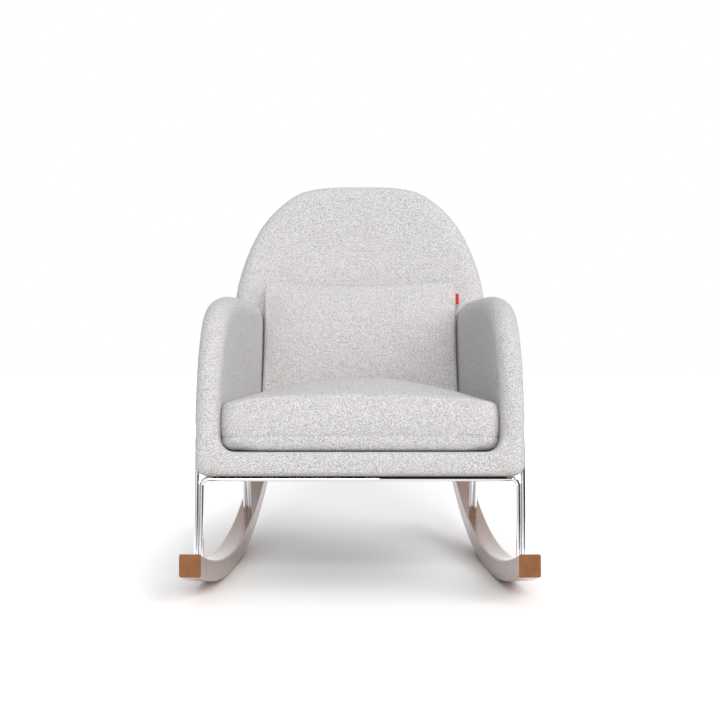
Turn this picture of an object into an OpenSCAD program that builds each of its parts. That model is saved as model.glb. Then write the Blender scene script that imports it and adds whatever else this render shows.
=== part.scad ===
// Upholstered rocking chair: two bent timber rockers, a base of bent round bar, a timber seat and back
// frame with webbing, one padded tub of arms and back, a loose seat cushion and a loose lumbar pillow.
// Units are millimetres. X is across the chair, Y runs from front to back, Z is up, the floor is Z 0.

/* [Rockers] */
// Width of each rocker across its grain
rocker_width = 45; // [30:1:60]
// Height of the rocker's section
rocker_height = 45; // [30:1:60]
// Radius of the rocking surface
rocker_radius = 1285; // [900:1:1600]
// Length of the rocker over the floor
rocker_length = 970; // [880:5:1100]
// Length from the rocker's front end back to its lowest point
rocker_balance = 390; // [340:5:450]
// Length of the sanded flat at the lowest point
rest_flat = 120; // [20:2:140]
// Rounding along the rocker's edges
rocker_edge = 3.5; // [1:0.5:8]
// Half distance between the rockers' centre lines at their front ends
rocker_spread = 345.6; // [300:0.5:380]
// How much each rocker turns inwards towards the rear, in degrees
rocker_toe = 3.7; // [0:0.01:6]

/* [Base of bent bar] */
// Diameter of the round bar
bar = 10; // [8:0.5:14]
// Gap left between the two bars of each foot
bar_gap = 0.4; // [0.4:0.1:2]
// From the rocker's front end back to the front feet
foot_front = 56; // [40:1:120]
// From the rocker's front end back to the rear feet
foot_rear = 740; // [690:1:780]
// Half distance between the two inner front bars
inner_bar_spread = 330; // [280:0.5:360]
// How much the side hoops turn inwards towards the rear, in degrees
hoop_toe = 3.15; // [0:0.01:6]
// Height of the front and rear cross bars in the tilted chair
cross_bar_height = 256.5; // [220:0.5:300]
// Height of the side bars in the tilted chair
side_bar_height = 354.5; // [300:0.5:400]
// Bend radius at the cross bars' corners, to the bar's centre
cross_bend = 13; // [8:1:40]
// Bend radius at the side bars' corners, to the bar's centre
side_bend = 28; // [12:1:60]
// How deep each foot stands in its rocker
socket_depth = 22; // [15:1:30]
// Gap round a foot in its socket
socket_clearance = 0.1; // [0.05:0.05:0.15]
// Thread diameter of the foot screws
foot_screw = 5; // [4:0.5:6]
// How far a foot screw reaches up into its bar
foot_screw_reach = 14; // [8:1:18]

/* [Seat frame] */
// How far the whole chair above the rockers is tilted back, in degrees
seat_rake = 5; // [0:0.5:10]
// Underside of the body in the tilted chair
body_base = 262.5; // [240:0.5:300]
// Front face of the body in the tilted chair
body_front = 14; // [5:1:40]
// Height of the seat rails
rail_height = 42; // [30:1:60]
// Thickness of the side rails
rail_thick = 25; // [18:1:35]
// Depth of the front rail from front to rear
front_rail_depth = 70; // [36:1:76]
// Foam in front of the front rail
front_foam = 16; // [8:1:30]
// Gap between the body's lower side and the side bars
side_gap = 1; // [0.3:0.1:5]
// Foam outside the arm panels
side_foam = 10; // [5:1:20]
// Thickness of the plywood arm panels
panel_thick = 18; // [12:1:24]
// Width of the webbing straps
strap_width = 50; // [30:1:70]
// Thickness of the webbing straps
strap_thick = 2; // [1:0.5:4]
// Straps running from front to rear
long_straps = 5; // [3:1:7]
// Straps running across the seat
cross_straps = 5; // [3:1:7]
// Thickness of the deck pad over the webbing
deck_thick = 5; // [3:1:15]
// Thickness of the black cloth under the seat
under_cloth = 0.8; // [0.5:0.1:2]

/* [Arms] */
// Height of the arms in the tilted chair, at the front of their level part
arm_height = 669; // [600:1:720]
// How much the arms rise towards the back
arm_rise = 34; // [0:1:60]
// Half width over the arms above the side bars
arm_half = 345; // [320:0.5:380]
// Half width between the arms at the front of the seat
seat_half_front = 295.5; // [260:0.5:310]
// Half width between the arms at the back of the seat
seat_half_rear = 250; // [220:0.5:300]
// Rounding of the arms' edges
arm_round = 27; // [15:1:40]
// Foam above and in front of the arm panels
arm_foam = 34; // [20:1:50]

/* [Back] */
// Lean of the back from square to the seat, in degrees
back_lean = 10.9; // [5:0.1:20]
// Middle of the back's thickness at the body's underside
back_foot = 612; // [560:1:660]
// Height of the back along its slope, from the body's underside
back_height = 773; // [700:1:850]
// How far the front of the back is dished between its edges
back_dish = 10; // [0:1:20]
// Thickness of the back
back_thick = 80; // [60:1:110]
// Half width of the back at its widest, beside the arms
back_half = 333; // [300:1:360]
// Half width of the back at its foot
back_half_foot = 298; // [260:1:330]
// Rounding of the back's edge
back_round = 36; // [20:1:40]
// Depth of the timber arch in the back
arch_depth = 48; // [25:1:60]
// Width of the timber arch
arch_width = 36; // [30:1:60]
// Foam over the front of the webbing in the back
back_foam = 24; // [18:1:32]
// Foam round the edge of the timber arch
edge_foam = 26; // [15:1:45]
// Thickness of the outside back panel
outside_panel = 4; // [2:0.5:8]

/* [Seat cushion] */
// Height of the cushion's sides
cushion_side = 96; // [70:1:130]
// How far the top of the cushion swells above its sides
cushion_crown = 72; // [10:1:80]
// Gap between the cushion and the arms
cushion_gap = 1.5; // [0.5:0.5:10]
// From the body's front face back to the cushion's front
cushion_setback = 7; // [0:1:30]
// How far the cushion's front bulges
cushion_bulge = 8; // [0:1:20]
// Length of the cushion from front to rear
cushion_length = 548; // [480:1:600]
// Rounding of the cushion's corners seen from above
cushion_corner = 40; // [15:1:70]

/* [Lumbar pillow] */
// Width of the pillow
pillow_width = 498; // [400:1:520]
// Height of the pillow
pillow_height = 335; // [260:1:360]
// Thickness of the pillow
pillow_thick = 112; // [70:1:140]
// Gap between the pillow and the back
pillow_gap = 0.5; // [0.3:0.1:5]
// Height of the pillow's lower edge above the deck
pillow_lift = 95; // [60:1:180]
// Width of the bare side label
label_width = 12; // [8:1:25]
// Height of the side label
label_height = 29; // [15:1:50]

/* [Hidden] */
$fn = 48;

// The chair above the rockers is drawn level and then tilted back. To_chair gives the level place of a
// point on the floor side, and to_floor the other way round.
ck = cos(seat_rake);
sk = sin(seat_rake);
function to_chair(y, z) = [y * ck - z * sk, y * sk + z * ck];
function to_floor(p, q) = [p * ck + q * sk, -p * sk + q * ck];
module tilt() {
    rotate([-seat_rake, 0, 0])
        children();
}

// Rockers
flat_sink = rocker_radius - sqrt(pow(rocker_radius, 2) - pow(rest_flat / 2, 2));
toe_k = cos(rocker_toe);
function rocker_x(y) = rocker_spread - y * tan(rocker_toe);
function rocker_low(y) = rocker_radius - flat_sink - sqrt(pow(rocker_radius, 2)
    - pow((y - rocker_balance) / toe_k, 2));
function rocker_top(y) = rocker_radius - flat_sink - sqrt(pow(rocker_radius - rocker_height, 2)
    - pow((y - rocker_balance) / toe_k, 2));

// Feet, side hoops and cross bars, in the level chair
front_foot = to_chair(foot_front, rocker_top(foot_front));
rear_foot = to_chair(foot_rear, rocker_top(foot_rear));
bar_pitch = bar + bar_gap;
hoop_spread = inner_bar_spread + bar_pitch;
function hoop_x(p) = hoop_spread - (p - front_foot[0]) * tan(hoop_toe);
rear_inner_spread = hoop_x(rear_foot[0]) - bar_pitch;
lean_tan = tan(back_lean);
arch_front = -back_thick / 2 + back_foam;
arch_rear = arch_front + arch_depth;
// The rear cross bar lies behind the back, level with the lumbar rail that it is screwed to
lumbar_rail_z = 71;
lumbar_rail_high = 36;
rear_bar_y = back_thick / 2 + bar / 2 + 1;
rear_bar_z = lumbar_rail_z + lumbar_rail_high / 2;
rear_bar_p = back_foot + rear_bar_y * cos(back_lean) + rear_bar_z * sin(back_lean);
rear_bar_q = body_base - rear_bar_y * sin(back_lean) + rear_bar_z * cos(back_lean);
lean_t = (rear_foot[0] - rear_bar_p) / (rear_bar_q - rear_foot[1]);
foot_lean = atan(lean_t);
leg_lean = atan(lean_t / cos(hoop_toe));
rear_bend_p = rear_foot[0] - (side_bar_height - rear_foot[1]) * lean_t;

// Body outline
function smooth(t) = let (c = min(1, max(0, t))) c * c * (3 - 2 * c);
function mix(a, b, t) = a + (b - a) * t;
function back_line(q) = back_foot + (q - body_base) * lean_tan;
arm_end = back_line(arm_height);
function low_side(p) = hoop_x(p) - bar / 2 - side_gap;
function top_side(p) = mix(arm_half, back_half, smooth((p - 40) / (arm_end - 40)));
function flare_span(p) = 45 + 0.42 * max(0, p - 60);
function outer_x(p, q) = mix(low_side(p), top_side(p),
    smooth((q - side_bar_height - 10) / flare_span(p)));
function inner_x(p) = mix(seat_half_front, seat_half_rear,
    min(1, max(0, (p - body_front) / (back_foot - body_front - back_thick / 2))));

// Levels of the seat
rail_top = body_base + rail_height;
web_top = rail_top + 2 * strap_thick;
deck_top = web_top + deck_thick;
front_rail_p = body_front + front_foam;

// Places in the side plane: X outwards from the side bar, Y along the plane from the front foot
panel_out = -bar / 2 - side_gap - side_foam;
panel_in = panel_out - panel_thick;
rail_in = panel_in - rail_thick;
function along(p) = (p - front_foot[0]) / cos(hoop_toe);
module side_plane() {
    translate([hoop_spread, front_foot[0], 0])
        rotate([0, 0, hoop_toe])
            children();
}
module both_sides() {
    children();
    mirror([1, 0, 0])
        children();
}

// The back is drawn upright with its foot at zero: X across, Y through its thickness, Z up its slope
module lean_back() {
    translate([0, back_foot, body_base])
        rotate([-back_lean, 0, 0])
            children();
}

// Curves and rounded slabs. An outline runs anticlockwise, and its rings step in from the rounded edge
function unit(v) = v / max(norm(v), 1e-9);
function spline_at(a, b, c, d, t) = 0.5 * (2 * b + (c - a) * t + (2 * a - 5 * b + 4 * c - d) * t * t
    + (3 * b - a - 3 * c + d) * t * t * t);
function spline(pts, steps) = let (m = len(pts) - 1)
    concat([for (i = [0:m - 1], k = [0:steps - 1])
        spline_at(pts[max(i - 1, 0)], pts[i], pts[i + 1], pts[min(i + 2, m)], k / steps)], [pts[m]]);
function inward(o, i) = let (n = len(o), t = unit(o[(i + 1) % n] - o[(i + n - 1) % n])) [-t[1], t[0]];
function inset(o, w) = [for (i = [0:len(o) - 1]) o[i] + inward(o, i) * w];
function ring_faces(n, rings) = concat(
    [for (i = [0:n - 1]) [0, 1 + (i + 1) % n, 1 + i]],
    [for (k = [0:rings - 2], i = [0:n - 1]) let (a = 1 + k * n + i, b = 1 + k * n + (i + 1) % n)
        [a, b, a + n]],
    [for (k = [0:rings - 2], i = [0:n - 1]) let (b = 1 + k * n + (i + 1) % n, a = 1 + k * n + i)
        [b, b + n, a + n]],
    [for (i = [0:n - 1]) let (s = 1 + (rings - 1) * n) [s + i, s + (i + 1) % n, 1 + rings * n]]
);
caps = [0.35, 0.68, 0.9];
turns = [0, 30, 60, 90];
// Slab_points gives the points of a rounded slab: o outline, r rounding at each point, c middle, and
// place puts a point of one face at its depth d under that face
function slab_points(o, r, c, place) = let (n = len(o)) concat(
    [place(c, 0, 0)],
    [for (g = caps, i = [0:n - 1]) place(mix(c, o[i] + inward(o, i) * r[i], g), 0, 0)],
    [for (a = turns, i = [0:n - 1])
        place(o[i] + inward(o, i) * r[i] * (1 - sin(a)), 0, r[i] * (1 - cos(a)))],
    [for (k = [3:-1:0], i = [0:n - 1])
        place(o[i] + inward(o, i) * r[i] * (1 - sin(turns[k])), 1, r[i] * (1 - cos(turns[k])))],
    [for (k = [2:-1:0], i = [0:n - 1]) place(mix(c, o[i] + inward(o, i) * r[i], caps[k]), 1, 0)],
    [place(c, 1, 0)]
);
slab_rings = 14;

// Outline of the back across (X) and up its slope
back_side = spline([
    [back_half_foot, 22], [back_half_foot + 1, back_height * 0.10],
    [mix(back_half_foot, back_half, 0.35), back_height * 0.22],
    [mix(back_half_foot, back_half, 0.80), back_height * 0.38],
    [back_half, back_height * 0.54], [back_half - 7, back_height * 0.64],
    [back_half - 26, back_height * 0.735], [back_half - 52, back_height * 0.82],
    [back_half - 88, back_height * 0.893], [back_half - 138, back_height * 0.954],
    [back_half - 190, back_height * 0.985], [back_half - 250, back_height * 0.998],
    [0, back_height]
], 2);
back_foot_run = [for (t = [0.04, 0.25, 0.5, 0.75]) [t * back_half_foot, 0]];
foot_corner = [[back_half_foot - 16, 0.5], [back_half_foot - 4, 6]];
half_back = concat(back_foot_run, foot_corner, back_side);
m_back = len(half_back);
back_outline = concat(half_back,
    [for (i = [m_back - 2:-1:0]) [-half_back[i][0], half_back[i][1]]]);
back_rounds = [for (p = back_outline) p[1] < 20 ? 12 : min(back_round, 12 + 0.6 * (p[1] - 20))];
back_middle = [0, back_height * 0.48];
function back_place(a, side, d) = side == 0
    ? [a[0], -back_thick / 2 + d + back_dish * max(0, 1 - pow(a[0] / back_half_foot, 2))
        * smooth((back_height - a[1]) / 200) * smooth(a[1] / 120) , a[1]]
    : [a[0], back_thick / 2 - d, a[1]];
function back_skin(grow) = slab_points(inset(back_outline, -grow), [for (r = back_rounds) r + grow],
    back_middle, function(a, side, d) back_place(a, side, d - grow));
back_points = back_skin(0);
module back_form(grow = 0) {
    lean_back()
        polyhedron(grow == 0 ? back_points : back_skin(grow), ring_faces(len(back_outline), slab_rings));
}
function back_floor_y(v) = let (p = back_foot + v[1] * cos(back_lean) + v[2] * sin(back_lean),
    q = body_base - v[1] * sin(back_lean) + v[2] * cos(back_lean)) to_floor(p, q)[0];
overall_depth = max(rocker_length, max([for (v = back_points) back_floor_y(v)]));

// Outline of an arm from front to rear (X) and upwards (Y): a petal that sweeps back as it rises
arm_lift = arm_height - body_base;
function nose(dp, share) = [body_front + dp, body_base + arm_lift * share];
arm_nose = spline([nose(0, 0.05), nose(0, 0.14), nose(0, 0.235), nose(4, 0.338), nose(12, 0.4465),
    nose(24, 0.552), nose(45, 0.673), nose(78, 0.798), nose(118, 0.886), nose(180, 0.955),
    nose(272, 1)], 2);
m_nose = len(arm_nose);
arm_tail = arm_end + back_thick;
arm_top_run = [for (t = [0.25, 0.5, 0.75, 1]) [mix(body_front + 272, arm_tail, t),
    arm_height + arm_rise * pow(t, 0.9)]];
arm_foot_run = [for (t = [0, 0.12, 0.35, 0.6, 0.85]) [mix(body_front + 16, arm_tail, t), body_base]];
arm_outline = concat(arm_foot_run, [[arm_tail, body_base]],
    [for (t = [0.25, 0.5, 0.75]) [arm_tail, mix(body_base, arm_height + arm_rise, t)]],
    [for (i = [3:-1:0]) arm_top_run[i]], [for (i = [m_nose - 1:-1:0]) arm_nose[i]],
    [[body_front + 5, body_base + 5]]);
function arm_width(p, q) = outer_x(p, q) - inner_x(p);
arm_rounds = [for (a = arm_outline) a[1] < body_base + 22 ? 12
    : min(arm_width(a[0], a[1]) / 2 - 1, arm_round + 0.02 * a[0])];
arm_middle = [mix(body_front, arm_tail, 0.5), mix(body_base, arm_height, 0.45)];
function arm_place(a, side, d) = side == 0 ? [outer_x(a[0], a[1]) - d, a[0], a[1]]
    : [inner_x(a[0]) + d, a[0], a[1]];
arm_points = slab_points(arm_outline, arm_rounds, arm_middle,
    function(a, side, d) arm_place(a, side, d));
module arm_form() {
    polyhedron(arm_points, ring_faces(len(arm_outline), slab_rings));
}

// Bent round bar along flat points, with round bends
function turn_angle(a, b, c) = let (u = unit(b - a), v = unit(c - b))
    atan2(u[0] * v[1] - u[1] * v[0], u[0] * v[0] + u[1] * v[1]);
module bar_run(pts, bend, d) {
    m = len(pts);
    turning = [for (i = [1:m - 2]) turn_angle(pts[i - 1], pts[i], pts[i + 1])];
    cuts = concat([0], [for (t = turning) bend * tan(abs(t) / 2)], [0]);
    lengths = [for (i = [0:m - 2])
        round(1000 * (norm(pts[i + 1] - pts[i]) - cuts[i] - cuts[i + 1])) / 1000];
    u = unit(pts[1] - pts[0]);
    translate([pts[0][0], pts[0][1], 0])
        rotate([0, 0, atan2(u[1], u[0])])
            bar_step(lengths, turning, 0, bend, d);
}
// Each straight starts and ends a little way inside its bends, which are a hair thicker
bend_swell = 0.2;
bend_lap = 0.5;
module bar_step(lengths, turning, i, bend, d) {
    start = i == 0 ? 0 : bend_lap;
    stop = i == len(turning) ? 0 : bend_lap;
    rotate([0, 90, 0])
        translate([0, 0, -start])
            cylinder(h = lengths[i] + start + stop, d = d);
    if (i < len(turning)) {
        t = turning[i];
        side = t > 0 ? bend : -bend;
        translate([lengths[i], side, 0]) {
            rotate([0, 0, t > 0 ? -90 : 90 + t])
                rotate_extrude(angle = abs(t), $fn = 96)
                    translate([bend, 0])
                        circle(d = d + bend_swell);
            rotate([0, 0, t])
                translate([0, -side, 0])
                    bar_step(lengths, turning, i + 1, bend, d);
        }
    }
}

// Rockers
module rocker_section() {
    w = rocker_width / 2 - rocker_edge;
    low = rocker_radius - rocker_height + rocker_edge;
    high = rocker_radius - rocker_edge;
    corners = [[high, w, 0], [low, w, 90], [low, -w, 180], [high, -w, 270]];
    polygon([for (c = corners, a = [0:18:90])
        [c[0] + rocker_edge * cos(c[2] + a), c[1] + rocker_edge * sin(c[2] + a)]]);
}
rocker_start = rocker_width / 2 * sin(rocker_toe);
rocker_mid = rocker_balance / toe_k;
rocker_end = (rocker_length - rocker_width / 2 * sin(rocker_toe)) / toe_k;
module rocker_blank() {
    a0 = -asin((rocker_mid - rocker_start) / rocker_radius) - 2;
    a1 = asin((rocker_end - rocker_mid) / rocker_radius) + 3;
    intersection() {
        translate([0, rocker_mid, rocker_radius - flat_sink])
            rotate([0, 90, 0])
                rotate([0, 0, a0])
                    rotate_extrude(angle = a1 - a0, $fn = 720)
                        rocker_section();
        translate([-rocker_width, rocker_start, 0])
            cube([2 * rocker_width, rocker_end - rocker_start, rocker_height + 300]);
    }
}
// A foot's own line: its origin where the bar meets the rocker's top, Z up along the bar
module foot_line(rear, outer) {
    f = rear ? rear_foot : front_foot;
    x = rear ? rear_inner_spread : inner_bar_spread;
    tilt()
        translate([x + (outer ? bar_pitch : 0), f[0], f[1]])
            rotate([rear ? leg_lean : 0, 0, rear ? hoop_toe : 0])
                children();
}
module each_foot() {
    for (rear = [false, true], outer = [false, true])
        foot_line(rear, outer)
            children();
}
screw_head_d = foot_screw * 1.8;
module right_rocker_solid() {
    difference() {
        translate([rocker_spread, 0, 0])
            rotate([0, 0, rocker_toe])
                rocker_blank();
        each_foot() {
            translate([0, 0, -socket_depth])
                cylinder(h = socket_depth + rocker_height, d = bar + 2 * socket_clearance);
            translate([0, 0, -rocker_height * 1.7])
                cylinder(h = rocker_height * 1.5, d = foot_screw + 0.6);
            translate([0, 0, -rocker_height * 1.8])
                cylinder(h = rocker_height, d = screw_head_d + 0.8);
        }
    }
}
module right_rocker() {
    color([0.48, 0.32, 0.22])
        right_rocker_solid();
}
module left_rocker() {
    color([0.48, 0.32, 0.22])
        mirror([1, 0, 0])
            right_rocker_solid();
}
module foot_screws() {
    color([0.55, 0.55, 0.57])
        both_sides()
            each_foot() {
                translate([0, 0, -rocker_height * 0.80])
                    cylinder(h = rocker_height * 0.80 - socket_depth + foot_screw_reach, d = foot_screw);
                translate([0, 0, -rocker_height * 0.80 - foot_screw])
                    cylinder(h = foot_screw, d = screw_head_d);
            }
}
module screw_threads() {
    each_foot()
        translate([0, 0, -socket_depth - 1])
            cylinder(h = foot_screw_reach + 1, d = foot_screw);
}

// Cross hoops: two feet and the bar between them, bent from one length
foot_k = 1 / cos(foot_lean);
module front_hoop() {
    x = inner_bar_spread;
    top = cross_bar_height - front_foot[1];
    color([0.80, 0.81, 0.82])
        difference() {
            tilt()
                translate([0, front_foot[0], front_foot[1]])
                    rotate([90, 0, 0])
                        bar_run([[-x, -socket_depth], [-x, top], [x, top], [x, -socket_depth]],
                            cross_bend, bar);
            both_sides()
                screw_threads();
            tilt()
                front_bar_screws()
                    bar_screw_hole();
        }
}
module rear_hoop() {
    splay = sin(foot_lean) * tan(hoop_toe);
    end = -socket_depth / norm([1, splay]);
    top = (rear_bar_q - rear_foot[1]) * foot_k;
    x0 = rear_inner_spread + end * splay;
    x1 = rear_inner_spread + top * splay;
    color([0.80, 0.81, 0.82])
        difference() {
            tilt()
                translate([0, rear_foot[0], rear_foot[1]])
                    rotate([90 + foot_lean, 0, 0])
                        bar_run([[-x0, end], [-x1, top], [x1, top], [x0, end]], cross_bend, bar);
            both_sides()
                screw_threads();
            tilt()
                rear_bar_screws()
                    bar_screw_hole();
        }
}

// Side hoops: a front foot, the side bar and a rear foot, bent from one length
rear_drop = side_bar_height - rear_foot[1];
side_run = [
    [0, -socket_depth],
    [0, side_bar_height - front_foot[1]],
    [along(rear_bend_p), side_bar_height - front_foot[1]],
    [along(rear_foot[0]) + socket_depth * sin(leg_lean),
        rear_foot[1] - front_foot[1] - socket_depth * cos(leg_lean)]
];
side_screw_p = [150, 440];
side_screw_reach = 5;
module side_screw_line(p) {
    side_plane()
        translate([0, along(p), side_bar_height])
            rotate([0, -90, 0])
                children();
}
module right_side_hoop_solid() {
    difference() {
        tilt() {
            difference() {
                side_plane()
                    translate([0, 0, front_foot[1]])
                        rotate([90, 0, 90])
                            bar_run(side_run, side_bend, bar);
                for (p = side_screw_p)
                    side_screw_line(p)
                        translate([0, 0, bar / 2 - side_screw_reach])
                            cylinder(h = bar, d = foot_screw);
            }
        }
        screw_threads();
    }
}
module right_side_hoop() {
    color([0.80, 0.81, 0.82])
        right_side_hoop_solid();
}
module left_side_hoop() {
    color([0.80, 0.81, 0.82])
        mirror([1, 0, 0])
            right_side_hoop_solid();
}

// Screws through the cross bars: two up into the front rail, two forward into the lumbar rail
bar_screw_x = 200;
bar_screw = 4;
bar_screw_head = bar_screw * 1.6;
bar_screw_sink = 2.7;
bar_screw_long = 35;
cloth_low = body_base - under_cloth;
module front_bar_screws() {
    for (x = [-bar_screw_x, bar_screw_x])
        translate([x, front_foot[0], cross_bar_height - bar / 2])
            children();
}
module rear_bar_screws() {
    lean_back()
        for (x = [-bar_screw_x, bar_screw_x])
            translate([x, rear_bar_y + bar / 2, rear_bar_z])
                rotate([90, 0, 0])
                    children();
}
module bar_screw_hole() {
    cylinder(h = bar + 1, d = bar_screw + 0.4);
    translate([0, 0, -1])
        cylinder(h = 1 + bar_screw_sink, d = bar_screw_head + 0.4);
}
module bar_screw_line(d) {
    translate([0, 0, bar_screw_sink])
        cylinder(h = bar_screw_long - bar_screw_sink, d = d);
}
module bar_screw_solid() {
    bar_screw_line(bar_screw);
    translate([0, 0, bar_screw_sink - 1.5])
        cylinder(h = 1.5, d = bar_screw_head);
}
module bar_screws() {
    color([0.55, 0.55, 0.57])
        tilt() {
            front_bar_screws()
                bar_screw_solid();
            rear_bar_screws()
                bar_screw_solid();
        }
}

// Seat frame: front rail, side rails and rear rail, with glue blocks in the corners
front_rail_back = front_rail_p + front_rail_depth;
function rail_half(p, off) = hoop_x(p) + off / cos(hoop_toe);
module front_rail() {
    color([0.80, 0.66, 0.46])
        tilt()
            difference() {
                translate([0, 0, body_base])
                    linear_extrude(rail_height)
                        polygon([
                            [-rail_half(front_rail_p, panel_in), front_rail_p],
                            [rail_half(front_rail_p, panel_in), front_rail_p],
                            [rail_half(front_rail_back, panel_in), front_rail_back],
                            [-rail_half(front_rail_back, panel_in), front_rail_back]
                        ]);
                front_bar_screws()
                    bar_screw_line(bar_screw);
            }
}
function back_plane_p(y, q) = back_foot + y / cos(back_lean) + (q - body_base) * lean_tan;
side_rail_end = back_plane_p(arch_front, body_base);
block = 48;
bolt_p = [front_rail_back + block + 14, 330, 510];
bolt_q = body_base + rail_height / 2;
bolt_d = 8;
module bolt_lines(d, from, to) {
    side_plane()
        for (p = bolt_p)
            translate([from, along(p), bolt_q])
                rotate([0, 90, 0])
                    cylinder(h = to - from, d = d);
}
module right_side_rail_solid() {
    tilt()
        difference() {
            side_plane()
                translate([rail_in, along(front_rail_back), body_base])
                    cube([rail_thick, along(side_rail_end) - along(front_rail_back), rail_height]);
            translate([0, front_rail_back - rail_thick, body_base - 1])
                cube([2 * seat_half_front, rail_thick, rail_height + 2]);
            bolt_lines(bolt_d + 0.4, rail_in - 1, panel_out + 1);
        }
}
module right_side_rail() {
    color([0.80, 0.66, 0.46])
        right_side_rail_solid();
}
module left_side_rail() {
    color([0.80, 0.66, 0.46])
        mirror([1, 0, 0])
            right_side_rail_solid();
}
module rear_rail() {
    half = arch_inner_foot - 0.3;
    color([0.80, 0.66, 0.46])
        tilt()
            translate([half, 0, 0])
                rotate([90, 0, -90])
                    linear_extrude(2 * half)
                        polygon([
                            [-back_plane_p(arch_front, body_base), body_base],
                            [-back_plane_p(arch_rear, body_base), body_base],
                            [-back_plane_p(arch_rear, rail_top), rail_top],
                            [-back_plane_p(arch_front, rail_top), rail_top]
                        ]);
}
module corner_blocks() {
    h = rail_height - 8;
    xf = rail_half(front_rail_back, rail_in) - 0.3;
    xr = arch_inner_foot - 0.3;
    pr = back_plane_p(arch_front, body_base) - 0.3;
    color([0.72, 0.58, 0.40])
        tilt()
            both_sides() {
                translate([0, 0, body_base + 2])
                    linear_extrude(h)
                        polygon([[xf, front_rail_back], [xf - block, front_rail_back],
                            [xf - block * tan(hoop_toe), front_rail_back + block]]);
                translate([0, 0, body_base + 2])
                    linear_extrude(h)
                        polygon([[rail_half(pr, rail_in) - 0.3, pr],
                            [rail_half(pr, rail_in) - 0.3 + block * tan(hoop_toe), pr - block],
                            [rail_half(pr, rail_in) - block, pr]]);
            }
}

// Webbing: straps from front to rear over the rails, and straps across over those
web_from = front_rail_p + 6;
web_to = back_plane_p(arch_front, rail_top) + 25;
web_clear = back_plane_p(arch_front, rail_top) - 1;
long_pitch = 2 * (rail_half(web_to, rail_in) - 22) / long_straps;
module seat_webbing_long() {
    color([0.20, 0.20, 0.22])
        tilt()
            for (i = [0:long_straps - 1])
                translate([(i - (long_straps - 1) / 2) * long_pitch - min(strap_width, long_pitch - 6) / 2,
                    web_from, rail_top])
                    cube([min(strap_width, long_pitch - 6), web_to - web_from, strap_thick]);
}
cross_pitch = (web_clear - front_rail_back) / cross_straps;
module seat_webbing_cross() {
    w = min(strap_width, cross_pitch - 6);
    color([0.26, 0.26, 0.28])
        tilt()
            for (i = [0:cross_straps - 1])
                let (p = front_rail_back + cross_pitch * (i + 0.5), x = rail_half(p + w / 2, panel_in) - 2)
                    translate([-x, p - w / 2, rail_top + strap_thick])
                        cube([2 * x, w, strap_thick]);
}

// Deck pad: a thin firm layer over the webbing that carries the loose cushion
function deck_half(p) = inner_x(p) - 1.5;
module deck_pad() {
    p0 = front_rail_p - 2;
    p1 = back_plane_p(-back_thick / 2, deck_top) - 1;
    color([0.30, 0.30, 0.31])
        tilt()
            translate([0, 0, web_top])
                linear_extrude(deck_thick)
                    polygon([[-deck_half(p0), p0], [deck_half(p0), p0],
                        [deck_half(p1), p1], [-deck_half(p1), p1]]);
}

// Arm panels: plywood, with the arm's outline drawn in by its foam, and a hole that lightens them
panel_rear = 16;
panel_nose = [for (a = arm_nose) if (a[1] > body_base + 20) a];
panel_edge = inset(concat([[body_front, body_base - 60]], panel_nose,
    [[mix(body_front + 272, arm_tail, 0.5), arm_height + arm_rise * 0.53],
    [arm_tail, arm_height + arm_rise]]), -arm_foam);
panel_top = [for (i = [1:len(panel_edge) - 2]) panel_edge[i]];
panel_high = arm_height + arm_rise * 0.5 - arm_foam;
panel_outline = concat(
    [[body_front + arm_foam, body_base], [back_plane_p(panel_rear, body_base), body_base],
    [back_plane_p(panel_rear, panel_high), panel_high]],
    [for (i = [len(panel_top) - 2:-1:0]) panel_top[i]]
);
module panel_flat() {
    difference() {
        polygon([for (a = panel_outline) [along(a[0]), a[1]]]);
        lightening_hole();
    }
}
hole_p0 = body_front + arm_foam + 120;
hole_q0 = rail_top + 40;
module lightening_hole() {
    w = back_plane_p(arch_front, hole_q0) - 60 - hole_p0;
    h = arm_height - arm_foam - 60 - hole_q0;
    r = 30;
    x0 = along(hole_p0);
    translate([x0 + r, hole_q0])
        square([w - 2 * r, h]);
    translate([x0, hole_q0 + r])
        square([w, h - 2 * r]);
    for (x = [x0 + r, x0 + w - r], y = [hole_q0 + r, hole_q0 + h - r])
        translate([x, y])
            circle(r = r);
}
arch_bolt_q = [60, 150];
arch_bolt_y = (arch_front + panel_rear) / 2 + 3;
arch_bolt_grip = panel_thick + 30;
module arch_bolt_lines(d, from, to) {
    side_plane()
        for (z = arch_bolt_q)
            let (q = body_base + z, p = back_plane_p(arch_bolt_y, q))
                translate([panel_out + from, along(p), q])
                    rotate([0, 90, 0])
                        cylinder(h = to - from, d = d);
}
module right_panel_raw() {
    side_plane()
        translate([panel_in, 0, 0])
            rotate([90, 0, 90])
                linear_extrude(panel_thick)
                    panel_flat();
}
module right_arm_panel_solid() {
    tilt()
        difference() {
            right_panel_raw();
            bolt_lines(bolt_d + 0.4, panel_in - 1, panel_out + 1);
            arch_bolt_lines(bolt_d + 0.4, -panel_thick - 2, 2);
            for (p = side_screw_p)
                side_screw_line(p)
                    translate([0, 0, -60])
                        cylinder(h = 200, d = foot_screw + 0.4);
        }
}
module right_arm_panel() {
    color([0.86, 0.74, 0.56])
        right_arm_panel_solid();
}
module left_arm_panel() {
    color([0.86, 0.74, 0.56])
        mirror([1, 0, 0])
            right_arm_panel_solid();
}

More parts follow.
